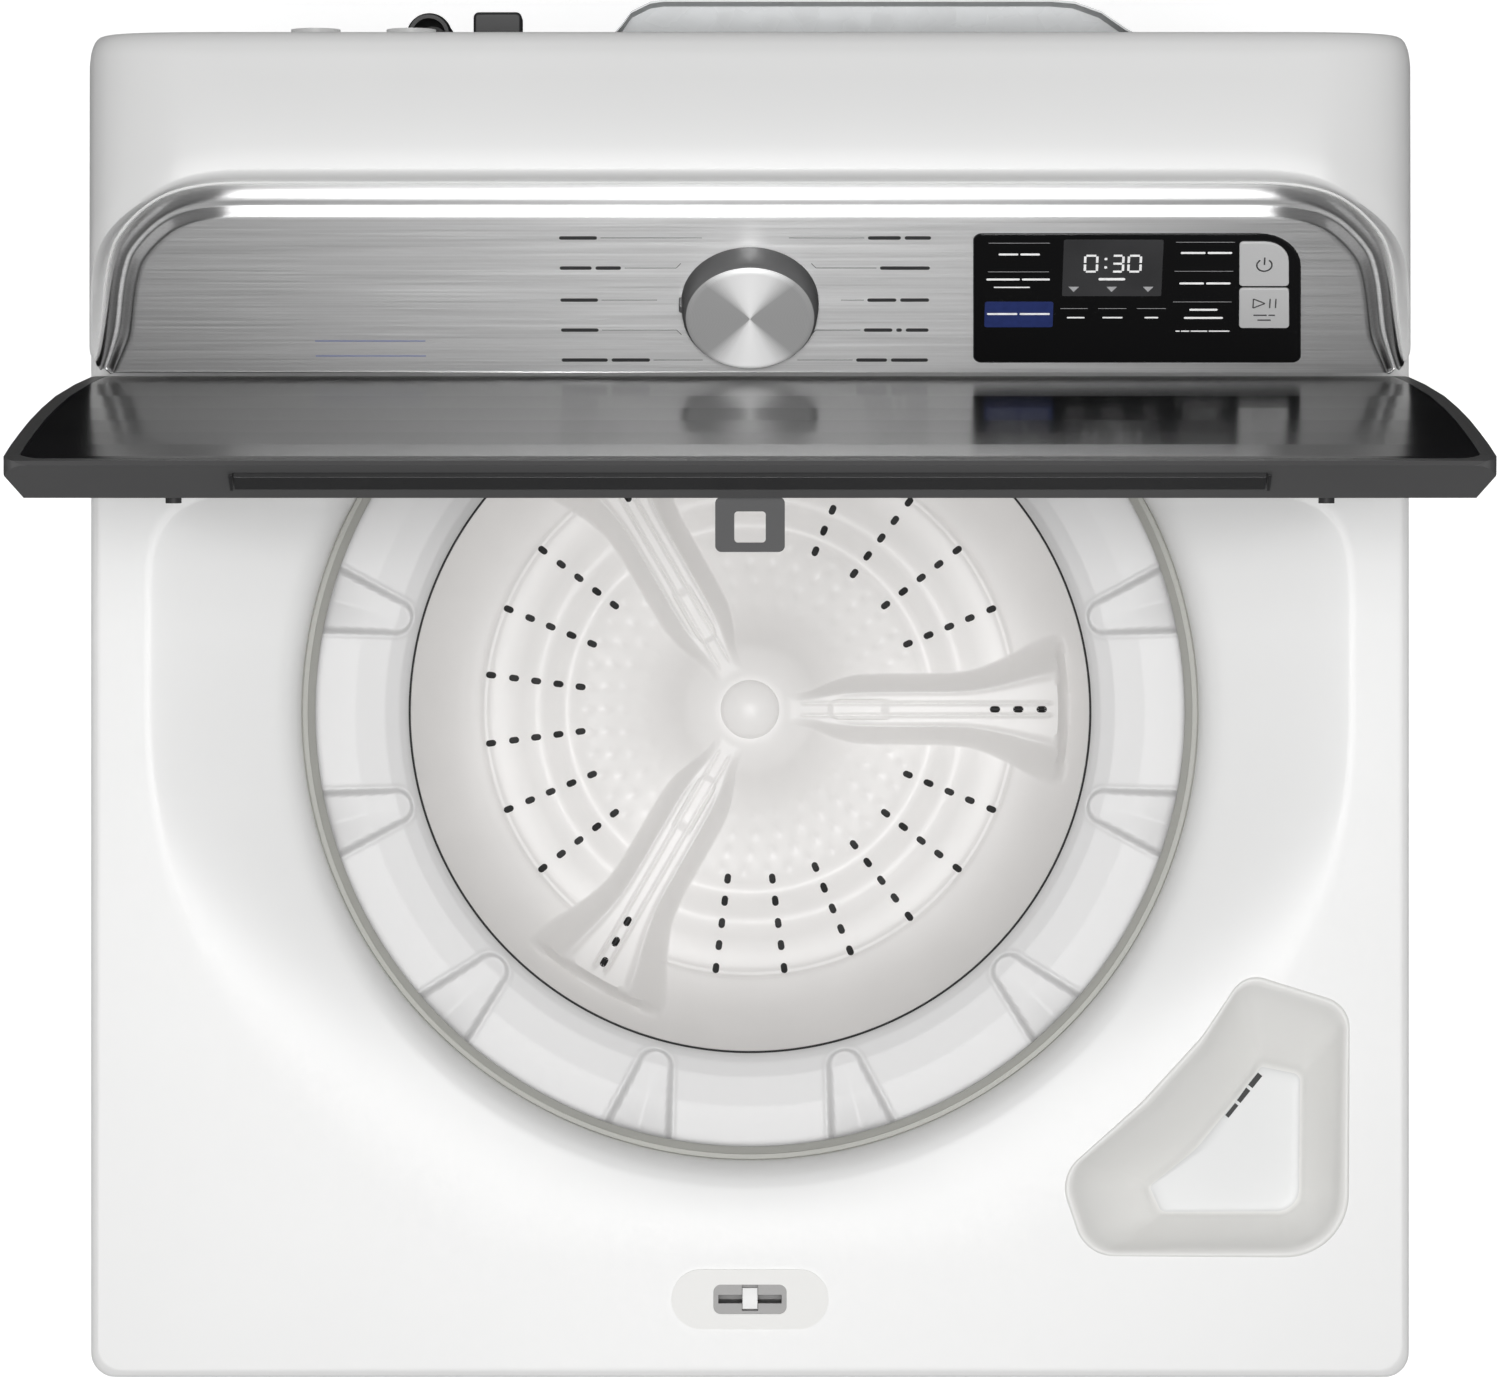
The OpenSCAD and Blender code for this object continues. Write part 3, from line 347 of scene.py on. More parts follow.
def galvanised():
    """Zinc-coated steel with its spangle."""
    material, tree, shader = node_tree("galvanised")
    coord = tree.nodes.new("ShaderNodeTexCoord")
    cells = tree.nodes.new("ShaderNodeTexVoronoi")
    cells.inputs["Scale"].default_value = 120.0
    tree.links.new(coord.outputs["Object"], cells.inputs["Vector"])
    grey = tree.nodes.new("ShaderNodeRGBToBW")
    tree.links.new(cells.outputs["Color"], grey.inputs["Color"])
    tree.links.new(
        ramp(tree, grey.outputs["Val"], (0.52, 0.53, 0.535), (0.59, 0.60, 0.605), 0.2, 0.8),
        shader.inputs["Base Color"],
    )
    tree.links.new(spread(tree, grey.outputs["Val"], 0.46, 0.54), shader.inputs["Roughness"])
    fine = noise(tree, 500.0)
    bump(tree, shader, fine.outputs["Fac"], 0.2, 0.00004)
    shader.inputs["Metallic"].default_value = 0.45
    return material


def spun():
    """Turned aluminium: rings about the local z axis, with a painted highlight where they face up and down
    the panel, also fed to a glow.
    """
    material, tree, shader = node_tree("spun_aluminium")
    coord = tree.nodes.new("ShaderNodeTexCoord")
    rings = tree.nodes.new("ShaderNodeTexWave")
    rings.wave_type = "RINGS"
    rings.rings_direction = "Z"
    rings.inputs["Scale"].default_value = 420.0
    rings.inputs["Distortion"].default_value = 1.2
    rings.inputs["Detail"].default_value = 3.0
    tree.links.new(coord.outputs["Object"], rings.inputs["Vector"])
    level = vector_math(tree, "MULTIPLY", coord.outputs["Object"], constant=(1.0, 1.0, 0.0))
    split = tree.nodes.new("ShaderNodeSeparateXYZ")
    tree.links.new(vector_math(tree, "NORMALIZE", level), split.inputs["Vector"])
    facing = tree.nodes.new("ShaderNodeMath")
    facing.operation = "ABSOLUTE"
    tree.links.new(split.outputs["Y"], facing.inputs[0])
    # Painted highlight: lighter wedges above and below the knob's centre, put in the colour and in a painted
    # glow.
    painted_highlight = ramp(tree, facing.outputs["Value"], (0.46, 0.46, 0.46), (1.0, 1.0, 1.0), 0.70, 0.93)
    lines = ramp(tree, rings.outputs["Fac"], (0.90, 0.90, 0.90), (1.0, 1.0, 1.0), 0.2, 0.8)
    mixed = vector_math(tree, "MULTIPLY", painted_highlight, lines)
    tree.links.new(mixed, shader.inputs["Base Color"])
    tree.links.new(mixed, shader.inputs["Emission Color"])
    shader.inputs["Emission Strength"].default_value = 0.32
    tree.links.new(spread(tree, rings.outputs["Fac"], 0.50, 0.58), shader.inputs["Roughness"])
    bump(tree, shader, rings.outputs["Fac"], 0.15, 0.00001)
    tangent = tree.nodes.new("ShaderNodeTangent")
    tangent.direction_type = "RADIAL"
    tangent.axis = "Z"
    tree.links.new(tangent.outputs["Tangent"], shader.inputs["Tangent"])
    shader.inputs["Metallic"].default_value = 0.35
    shader.inputs["Anisotropic"].default_value = 0.7
    shader.inputs["Anisotropic Rotation"].default_value = 0.25
    return material


def dark_glass():
    """Near-black tempered glass with the faintest drift in its tint."""
    material, tree, shader = node_tree("dark_glass")
    drift = noise(tree, 8.0)
    tree.links.new(
        ramp(tree, drift.outputs["Fac"], (0.010, 0.010, 0.011), (0.016, 0.016, 0.017)),
        shader.inputs["Base Color"],
    )
    tree.links.new(spread(tree, drift.outputs["Fac"], 0.13, 0.17), shader.inputs["Roughness"])
    shader.inputs["IOR"].default_value = 1.16
    return material


def glow(name, colour, strength):
    """A lit mark on the display, slightly uneven."""
    material, tree, shader = node_tree(name)
    drift = noise(tree, 300.0)
    tint = ramp(tree, drift.outputs["Fac"], shade(colour, 0.9), shade(colour, 1.05))
    tree.links.new(tint, shader.inputs["Base Color"])
    tree.links.new(tint, shader.inputs["Emission Color"])
    shader.inputs["Emission Strength"].default_value = strength
    shader.inputs["Roughness"].default_value = 0.4
    return material


ENAMEL = surface("white_enamel", (0.90, 0.90, 0.895), 0.36, vary=0.008, grain=700.0, grain_depth=0.00002,
                 grain_strength=0.10)
SHELL = surface("white_shell", (0.90, 0.90, 0.895), 0.34, vary=0.01, grain=900.0, grain_strength=0.15)
WARM = surface("warm_plastic", (0.89, 0.885, 0.865), 0.42, vary=0.012, grain=1500.0, grain_strength=0.2)
TRIM = surface("trim_plastic", (0.50, 0.50, 0.465), 0.45, vary=0.03, grain=1500.0)
RING = surface("ring_plastic", (0.74, 0.735, 0.735), 0.36, vary=0.012, grain=1300.0, grain_strength=0.18)
PLATE = surface("plate_plastic", (0.885, 0.876, 0.868), 0.38, vary=0.02, cloud=14.0, grain=900.0,
                grain_strength=0.10)
# Near-black painted shade, for the insides of slots and the sheet under the wash plate.
SLOT_SHADE = surface("slot_shadow", (0.035, 0.035, 0.035), 0.6, vary=0.1)
TUB = surface("tub_plastic", (0.74, 0.75, 0.75), 0.4, vary=0.02)
# A near-black copy of the lid frame's plastic: painted shade for the lid's grip recess.
FRAME_SHADE = surface("dark_frame", (0.030, 0.030, 0.031), 0.3, vary=0.08, grain=1600.0, grain_strength=0.2)
FRAME_GREY = surface("frame_strip", (0.085, 0.085, 0.086), 0.36, vary=0.06, grain=1600.0, grain_strength=0.2)
STRIKE = surface("strike_grey", (0.075, 0.075, 0.077), 0.6, vary=0.04, grain=1400.0)
LOCK = surface("lock_grey", (0.36, 0.355, 0.35), 0.42, vary=0.03, grain=1400.0)
RUBBER = surface("black_rubber", (0.022, 0.022, 0.023), 0.62, vary=0.12, grain=1800.0, grain_strength=0.5)
BLACK = surface("black_plastic", (0.02, 0.02, 0.021), 0.42, vary=0.1, grain=1500.0)
HOSE = surface("hose_grey", (0.16, 0.16, 0.165), 0.5, vary=0.06)
GLASS = dark_glass()
PANEL = surface("display_glass", (0.013, 0.013, 0.0135), 0.09, vary=0.1, grain=400.0, grain_depth=0.000004,
                grain_strength=0.05, rough_vary=0.02)
# A faint painted glow on the plate plastic, standing in for light bounced into the drum.
lift(PLATE.node_tree.nodes["Principled BSDF"], (1.0, 0.99, 0.98), 0.04)
STEEL = brushed("brushed_fascia", (0.76, 0.76, 0.76), 0.32, vary=0.06, sideways=1.0)
STAINLESS = brushed("stainless", (0.90, 0.89, 0.88), 0.42, along=(60.0, 60.0, 900.0))
# A copy of the stainless with a painted glow, standing in for light bounced onto the drum's wall.
BASKET_WALL_GLOW = brushed("basket_stainless_glow", (0.90, 0.89, 0.88), 0.42, along=(60.0, 60.0, 900.0))
lift(BASKET_WALL_GLOW.node_tree.nodes["Principled BSDF"], (1.0, 0.99, 0.98), 0.17)
ZINC = surface("zinc_steel", (0.62, 0.62, 0.60), 0.34, metal=0.9, vary=0.06, cloud=60.0)
GALV = galvanised()
SPUN = spun()
KNOB_SIDE = surface("knob_side", (0.21, 0.21, 0.212), 0.36, metal=0.3, vary=0.05, grain=1400.0)
KEY = surface("key_white", (0.86, 0.86, 0.86), 0.35, vary=0.012, grain=1500.0)
CAST = surface("cast_aluminium", (0.52, 0.53, 0.54), 0.45, metal=0.9, vary=0.06, cloud=40.0, grain=500.0)
GROUND = brushed("ground_steel", (0.50, 0.50, 0.52), 0.28, along=(60.0, 60.0, 1200.0))
CORE = surface("motor_core", (0.10, 0.095, 0.09), 0.55, metal=0.4, vary=0.12, cloud=50.0)
CLUTCH = surface("clutch_plastic", (0.52, 0.47, 0.32), 0.42, vary=0.05)
SPRING = surface("spring_steel", (0.28, 0.28, 0.30), 0.34, metal=0.9, vary=0.08, cloud=80.0)
BOARD = surface("circuit_green", (0.03, 0.16, 0.07), 0.45, vary=0.15, cloud=90.0)
INK = surface("printed_grey", (0.07, 0.07, 0.072), 0.5, vary=0.08)
INK_BLUE = surface("printed_blue", (0.16, 0.20, 0.55), 0.5, vary=0.05)
LIT = glow("lit_white", (0.80, 0.80, 0.80), 0.55)
LIT_SOFT = glow("lit_soft", (0.42, 0.42, 0.43), 0.35)
LIT_BLUE = glow("lit_blue", (0.022, 0.034, 0.13), 0.4)

# ---------------------------------------------------------------- camera, light and floor

CAMERA_RISE = 3950.0
FLOOR_HALF = 9.0

camera_data = bpy.data.cameras.new("camera")
camera_data.sensor_width = 36.0
camera_data.lens = 179.0
camera_data.clip_start = 0.05
camera_data.clip_end = 60.0
camera = bpy.data.objects.new("camera", camera_data)
bpy.context.scene.collection.objects.link(camera)
camera.location = (0.0, 0.0, (DECK + CAMERA_RISE) * MM)
bpy.context.scene.camera = camera
bpy.context.scene.view_settings.view_transform = "Standard"


def lamp(name, size, place, aim, watts):
    """A soft rectangular light of a size in metres that points at a place."""
    data = bpy.data.lights.new(name, "AREA")
    data.shape = "RECTANGLE"
    data.size, data.size_y = size
    data.energy = watts
    obj = bpy.data.objects.new(name, data)
    bpy.context.scene.collection.objects.link(obj)
    obj.location = place
    direction = Vector(aim) - Vector(place)
    obj.rotation_euler = direction.to_track_quat("-Z", "Y").to_euler()


lamp("top_light", (0.7, 0.8), (0.0, -0.1, 5.9), (0.0, 0.0, 0.95), 56.0)
lamp("wide_light", (1.9, 1.7), (0.0, -0.2, 6.3), (0.0, 0.0, 0.95), 92.0)
lamp("front_panel", (0.9, 1.1), (0.0, -3.2, 1.35), (0.0, 0.0, 1.05), 8.0)
lamp("left_light", (1.0, 2.0), (-2.8, -0.2, 2.3), (0.0, 0.0, 0.9), 5.0)
lamp("right_light", (1.0, 2.0), (2.8, -0.2, 2.3), (0.0, 0.0, 0.9), 4.0)
lamp("rear_light", (2.0, 0.8), (0.0, 3.0, 2.2), (0.0, 0.1, 1.0), 5.0)

world = bpy.data.worlds.new("studio")
bpy.context.scene.world = world
world.use_nodes = True
sky_tree = world.node_tree
sky = sky_tree.nodes["Background"]
sky_coord = sky_tree.nodes.new("ShaderNodeTexCoord")
sky_split = sky_tree.nodes.new("ShaderNodeSeparateXYZ")
sky_tree.links.new(sky_coord.outputs["Generated"], sky_split.inputs["Vector"])
sky_tree.links.new(
    ramp(sky_tree, sky_split.outputs["Z"], (0.03, 0.03, 0.03), (1.0, 1.0, 1.0), 0.0, 0.25),
    sky.inputs["Color"],
)
sky.inputs["Strength"].default_value = 0.2

FLOOR = surface("pale_floor", (0.93, 0.93, 0.93), 0.6, vary=0.004)
lift(FLOOR.node_tree.nodes["Principled BSDF"], (1.0, 1.0, 1.0), 0.55)
floor_mesh = bpy.data.meshes.new("floor")
floor_corners = [(x * FLOOR_HALF, y * FLOOR_HALF, 0.0) for x, y in ((-1, -1), (1, -1), (1, 1), (-1, 1))]
floor_mesh.from_pydata(floor_corners, [], [(0, 1, 2, 3)])
floor = bpy.data.objects.new("floor", floor_mesh)
bpy.context.scene.collection.objects.link(floor)
floor.data.materials.append(FLOOR)
floor.visible_glossy = False

# ---------------------------------------------------------------- power cord

CORD_D = 8.0
HANK_X = -116.0
HANK_Z = 690.0
RUN = 150.0
OUTER_R = 32.0
INNER_R = 24.0
NEAR_Y = 347.5
FAR_Y = 355.5
RELIEF_X = -136.0
PLUG_X = -148.0
PLUG_Y = 351.8
PLUG_Z = 507.6
PINS_TOP = 509.0


def turn_points(r0, r1, y0, y1, start, end, z, steps=14):
    """Half a turn of the hank, shifting from one radius and layer to the next."""
    points = []
    for i in range(1, steps):
        t = i / steps
        a = math.radians(start + (end - start) * t)
        r = r0 + (r1 - r0) * ease(0, 1, t)
        points.append((HANK_X + r * math.cos(a), y0 + (y1 - y0) * ease(0, 1, t), z + r * math.sin(a)))
    return points


def run_points(x, y, up, steps=6):
    """A straight run of the hank, left ones down and right ones up."""
    zs = [HANK_Z - RUN / 2 + RUN * i / steps for i in range(steps + 1)]
    return [(x, y, z) for z in (zs if up else zs[::-1])]


def hank_route():
    """The hank: three turns, each a little inside or in front of the one before."""
    top = HANK_Z + RUN / 2
    low = HANK_Z - RUN / 2
    points = []
    turns = [
        (OUTER_R, FAR_Y, INNER_R, FAR_Y),
        (INNER_R, FAR_Y, INNER_R, NEAR_Y),
        (INNER_R, NEAR_Y, OUTER_R, NEAR_Y),
    ]
    for r, y, next_r, next_y in turns:
        points += run_points(HANK_X - r, y, False)
        points += turn_points(r, r, y, y, 180, 360, low)
        points += run_points(HANK_X + r, y, True)
        points += turn_points(r, next_r, y, next_y, 0, 180, top)
    points += run_points(HANK_X - OUTER_R, NEAR_Y, False)
    return points


CORD_OUT = [
    (-136.0, 353.0, 815.0), (-136.0, 353.0, 808.0), (-136.3, 353.4, 801.0), (-137.2, 354.0, 794.0),
    (-138.9, 354.6, 787.0), (-142.0, 355.2, 779.0), (-146.4, 355.5, 770.0),
]
CORD_IN = [
    (-148.0, 347.5, 602.0), (-148.0, 347.6, 594.0), (-148.0, 348.2, 586.0), (-148.0, 349.4, 578.0),
    (-148.0, 350.6, 570.0), (-148.0, 351.4, 562.0), (-148.0, 351.8, 555.0), (-148.0, 351.8, 549.6),
]


route = CORD_OUT + hank_route() + CORD_IN
curve = bpy.data.curves.new("power_cord_line", "CURVE")
curve.dimensions = "3D"
curve.bevel_depth = CORD_D / 2 * MM
curve.bevel_resolution = 5
curve.resolution_u = 3
spline = curve.splines.new("BEZIER")
spline.bezier_points.add(len(route) - 1)
for bp, (x, y, z) in zip(spline.bezier_points, route):
    bp.co = (x * MM, y * MM, z * MM)
    bp.handle_left_type = "AUTO"
    bp.handle_right_type = "AUTO"
flex = bpy.data.objects.new("power_flex", curve)
bpy.context.scene.collection.objects.link(flex)
flex.data.materials.append(RUBBER)
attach(flex, "cabinet")
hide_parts("power_cord", "cord_hank")


def at_height(outline, z, scale=1.0, centre=(0.0, 0.0)):
    """An outline about a centre, scaled and set at a height."""
    return [(centre[0] + x * scale, centre[1] + y * scale, z) for x, y in outline]


def plug_piece():
    """Moulded three-pin plug with a ribbed grip, pins down."""
    centre = (PLUG_X, PLUG_Y)
    body = slab(-13, -8.8, 13, 8.8, 6)
    neck = [(5.6 * x / 13, 5.6 * y / 8.8) for x, y in body]
    steps = [(body, 0.0, 0.93), (body, 1.6, 1.0)]
    for i in range(5):
        for up, scale in ((0.0, 1.0), (0.9, 0.94), (2.0, 0.94), (2.9, 0.99)):
            steps.append((body, 7 + 3.6 * i + up, scale - 0.02 * i))
    steps += [(body, 27, 0.80), (neck, 33, 1.25), (neck, 38, 1.0), (neck, 42, 0.88)]
    rows = [at_height(outline, PLUG_Z + up, scale, centre) for outline, up, scale in steps]
    return stack("plug_grip", rows, "cabinet", RUBBER)


def pins_piece():
    """Two flat pins and a round earth pin, tapered at their tips."""
    verts = []
    faces = []

    def pin(outline, low, tip):
        start = len(verts)
        cx = sum(p[0] for p in outline) / len(outline)
        cy = sum(p[1] for p in outline) / len(outline)
        for z, k in ((PINS_TOP, 1.0), (low + 1.6, 1.0), (low, tip)):
            verts.extend([(cx + (x - cx) * k, cy + (y - cy) * k, z) for x, y in outline])
        n = len(outline)
        faces.extend([tuple(start + i for i in f) for f in ring_faces(3, n)])
        faces.append(tuple(start + i for i in range(n)))
        faces.append(tuple(start + 2 * n + i for i in range(n - 1, -1, -1)))

    for x in (PLUG_X - 6.35, PLUG_X + 6.35):
        pin(slab(x - 0.8, 348.6, x + 0.8, 355.0, 0.4, 3), 491.0, 0.7)
    pin(arc(PLUG_X, 345.8, 2.4, 0, 345, 23), 488.0, 0.6)
    return make("plug_pins", verts, faces, "cabinet", ZINC)


def relief_piece():
    """Tapered, grooved strain relief under its clamp."""
    circle = arc(0, 0, 1.0, 0, 352.5, 47)
    centre = (RELIEF_X, 353.0)
    steps = [(815, 4.7)]
    for i in range(6):
        for up, wider in ((0.0, 0.0), (2.6, 0.3), (3.0, -0.5), (4.4, -0.4)):
            steps.append((816 + 4.8 * i + up, 5.1 + 0.55 * i + wider))
    steps.append((846.5, 8.4))
    rows = [at_height(circle, z, r, centre) for z, r in steps]
    return stack("cord_boot", rows, "cabinet", RUBBER)


def clamp_piece():
    outline = slab(-149, 340, -123, 364.5, 3)
    rows = [at_height(outline, z) for z in (846, 870)]
    obj = stack("cord_clamp", rows, "cabinet", BLACK)
    add_bevel(obj, 1.6)


def tie_piece():
    """Band round the middle of the hank."""
    y0, y1 = 342.3, 360.9
    x0, x1 = HANK_X - 37.6, HANK_X + 37.6
    outer = slab(x0, y0, x1, y1, 5)
    inner = slab(x0 + 1.5, y0 + 1.1, x1 - 1.5, y1 - 1.2, 4)
    rows = [at_height(loop, HANK_Z + up) for loop, up in ((outer, -5), (outer, 5), (inner, 5), (inner, -5))]
    faces = ring_faces(4, len(outer), wrap=True)
    return make("cord_band", flatten(rows), faces, "cabinet", BLACK)


plug = plug_piece()
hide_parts("power_plug")
pins = pins_piece()
boot = relief_piece()
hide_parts("cord_strain_relief")
clamp_piece()
band = tie_piece()
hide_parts("cord_tie")

# ---------------------------------------------------------------- deck and bowl

OPEN_R = 238.4
CHORD = 165.5
LIP_Z = 904.0
SHEET = 1.2
TRAY_X = 318.5
TRAY_BACK = 120.0
TRAY_FRONT = 292.0
SKIRT_Z = 900.0
LIP_STEPS = [0.0, 0.15, 0.5, 1.0, 1.7, 2.6, 3.8, 5.2, 7.0, 9.0, 11.5, 14.0]
TRAY_ROWS = 32
FLAT_ROWS = 8


def opening(a):
    """Distance from the axis to the edge of the opening, cut off flat at the back."""
    s = math.sin(a)
    if s < 0.2:
        return OPEN_R
    return (OPEN_R ** -24 + (CHORD / s) ** -24) ** (-1 / 24)


def tray(a):
    """Distance from the axis to the edge of the shallow tray round the opening."""
    c, s = abs(math.cos(a)), math.sin(a)
    side = TRAY_X / max(c, 1e-6)
    if s >= 0:
        p = 9.0
        back = TRAY_BACK / max(s, 1e-6)
        return (side ** -p + back ** -p) ** (-1 / p)
    p = 5.0
    front = TRAY_FRONT / max(-s, 1e-6)
    flat = (side ** -p + front ** -p) ** (-1 / p)
    return min(flat, TRAY_X)


def deck_height(a, r):
    """Height of the deck at a point: lip, tray and flat, against the flat deck."""
    edge = opening(a)
    width = max(tray(a) - edge, 0.0)
    s = r - edge
    front = ease(0.1, 0.8, -math.sin(a))
    depth = (19.0 - 13.5 * front) * ease(0.0, 40.0, width)
    lip = min(14.0, 6.0 + width * 0.3)
    h = 0.0
    if width > 0:
        u = min(max(s / width, 0.0), 1.0)
        h = -depth * (1 - u) ** (1.1 + 1.3 * front)
    if s < lip:
        t = 1 - max(s, 0.0) / lip
        h -= (DECK - LIP_Z + h) * (1 - math.sqrt(max(1 - t ** 2.6, 0.0)))
    return h


def rim_points():
    """Points along the deck's rounded outline."""
    out = []
    corners = slab(-HALF_W, FRONT_Y, HALF_W, REAR_Y, 13.0, 10)
    n = len(corners)
    for i in range(n):
        a = Vector(corners[i])
        b = Vector(corners[(i + 1) % n])
        steps = max(1, int((b - a).length / 7.0))
        for k in range(steps):
            out.append(a.lerp(b, k / steps))
    return out


def deck_piece():
    """Folded sheet: lip, tray, flat and skirt, then back inside to the lip."""
    rim = rim_points()
    angles = [math.atan2(p.y - AXIS_Y, p.x) for p in rim]
    reach = [math.hypot(p.x, p.y - AXIS_Y) for p in rim]
    rows = []
    for t in LIP_STEPS:
        rows.append([(*polar(a, opening(a) + t), DECK + deck_height(a, opening(a) + t)) for a in angles])
    for k in range(1, TRAY_ROWS + 1):
        row = []
        for a, far in zip(angles, reach):
            start = opening(a) + LIP_STEPS[-1]
            stop = min(max(tray(a), start + 6.0), far - 12.0)
            r = start + (stop - start) * k / TRAY_ROWS
            row.append((*polar(a, r), DECK + deck_height(a, r)))
        rows.append(row)
    for k in range(1, FLAT_ROWS + 1):
        row = []
        for a, far in zip(angles, reach):
            start = min(max(tray(a), opening(a) + LIP_STEPS[-1] + 6.0), far - 12.0)
            r = start + (far - 6.0 - start) * k / FLAT_ROWS
            row.append((*polar(a, r), DECK + deck_height(a, r) * (1 - k / FLAT_ROWS)))
        rows.append(row)
    centre = Vector((0.0, (FRONT_Y + REAR_Y) / 2))
    half = Vector((HALF_W, (REAR_Y - FRONT_Y) / 2))

    def pulled(inset, z):
        """The outline pulled in by an inset, at a height."""
        out = []
        for p in rim:
            d = p - centre
            out.append((centre.x + d.x * (1 - inset / half.x), centre.y + d.y * (1 - inset / half.y), z))
        return out

    for step in range(0, 7):
        t = math.radians(15 * step)
        rows.append(pulled(4.0 - 4.0 * math.sin(t), DECK - 4.0 + 4.0 * math.cos(t)))
    for inset, z in (
        (0.0, SKIRT_Z + 14.0), (0.0, SKIRT_Z), (SHEET, SKIRT_Z), (SHEET, DECK - 5.0), (4.5, DECK - SHEET),
        (14.0, DECK - SHEET - 0.4), (30.0, DECK - SHEET - 0.4),
    ):
        rows.append(pulled(inset, z))
    under = []
    for a, far in zip(angles, reach):
        r = max(tray(a), opening(a) + 60.0) * 0.995
        under.append((*polar(a, r if r < far - 31 else far - 32), DECK - SHEET - 0.8))
    rows.append(under)
    for t, drop in ((16.0, 16.0), (6.0, 22.0), (2.2, 28.0), (SHEET, 31.0)):
        rows.append([(*polar(a, opening(a) + t), DECK - drop - SHEET) for a in angles])
    rows.append([(*polar(a, opening(a) + SHEET), LIP_Z) for a in angles])
    faces = ring_faces(len(rows), len(rim), wrap=True)
    return make("deck", flatten(rows), faces, "cabinet", ENAMEL, 40.0)


CUP_TOP = [(262, -153), (316, -169.5), (314.5, -299), (180, -299), (166, -258), (210, -220), (240, -187)]
CUP_TOP_R = [14, 16, 32, 20, 20, 60, 60]
CUP_FLOOR = [(274, -201), (295.5, -205.5), (295, -281), (219, -281), (212.5, -267), (236, -248), (260, -219)]
CUP_FLOOR_R = [2.5, 5, 13, 4, 3, 60, 60]
CUP_DEPTH = 42.0
CUP_BED = DECK - CUP_DEPTH
CUP_MID = (258.0, -245.0)
LOCK_Y = -323.4


def offset(outline, by, mid):
    """An outline moved outward from a middle point by a distance."""
    out = []
    for p in outline:
        d = Vector((p[0] - mid[0], p[1] - mid[1]))
        d = d * ((d.length + by) / d.length)
        out.append((mid[0] + d.x, mid[1] + d.y))
    return out


def cutter(name, outline):
    """A plain prism through the deck, used to cut a hole, then removed."""
    n = len(outline)
    verts = at_height(outline, DECK - 30) + at_height(outline, DECK + 10)
    faces = ring_faces(2, n)
    faces.append(tuple(range(n - 1, -1, -1)))
    faces.append(end_face(2, n))
    return mesh_object(name, verts, faces, 0)


def cut(obj, tools):
    """Cuts the tools from a piece for good."""
    for tool in tools:
        boolean = obj.modifiers.new("cut", "BOOLEAN")
        boolean.operation = "DIFFERENCE"
        boolean.solver = "EXACT"
        boolean.object = tool
    graph = bpy.context.evaluated_depsgraph_get()
    mesh = bpy.data.meshes.new_from_object(obj.evaluated_get(graph))
    obj.modifiers.clear()
    obj.data = mesh
    for tool in tools:
        bpy.data.objects.remove(tool)


deck = deck_piece()
cup_top = rounded(CUP_TOP, CUP_TOP_R, 14)
cup_low = rounded(CUP_FLOOR, CUP_FLOOR_R, 14)
cut(deck, [
    cutter("cup_hole", offset(cup_top, -0.6, CUP_MID)),
    cutter("lock_hole", slab(-37.8, LOCK_Y - 12.3, 37.8, LOCK_Y + 12.3, 11.9)),
])
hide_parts("top_panel")


def trim_piece():
    """Seal and trim round the opening, following its flat back."""
    section = [
        (-1.0, 14.0), (0.6, 12.5), (-0.4, 9.5), (-2.2, 5.0), (-4.2, 1.0), (-4.6, -1.5), (-4.0, -3.6),
        (-2.4, -4.4), (2.6, -4.4), (4.0, -3.0), (4.0, 1.0), (3.0, 6.0), (2.4, 10.0), (1.4, 13.5),
    ]
    angles = circle_angles(240)
    verts = [(*polar(a, opening(a) - 1.6 + off), LIP_Z + up * 0.62) for off, up in section for a in angles]
    faces = ring_faces(len(section), len(angles), wrap=True)
    return make("opening_trim_ring", verts, faces, "cabinet", TRIM, 50.0)


trim = trim_piece()
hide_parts("opening_trim")


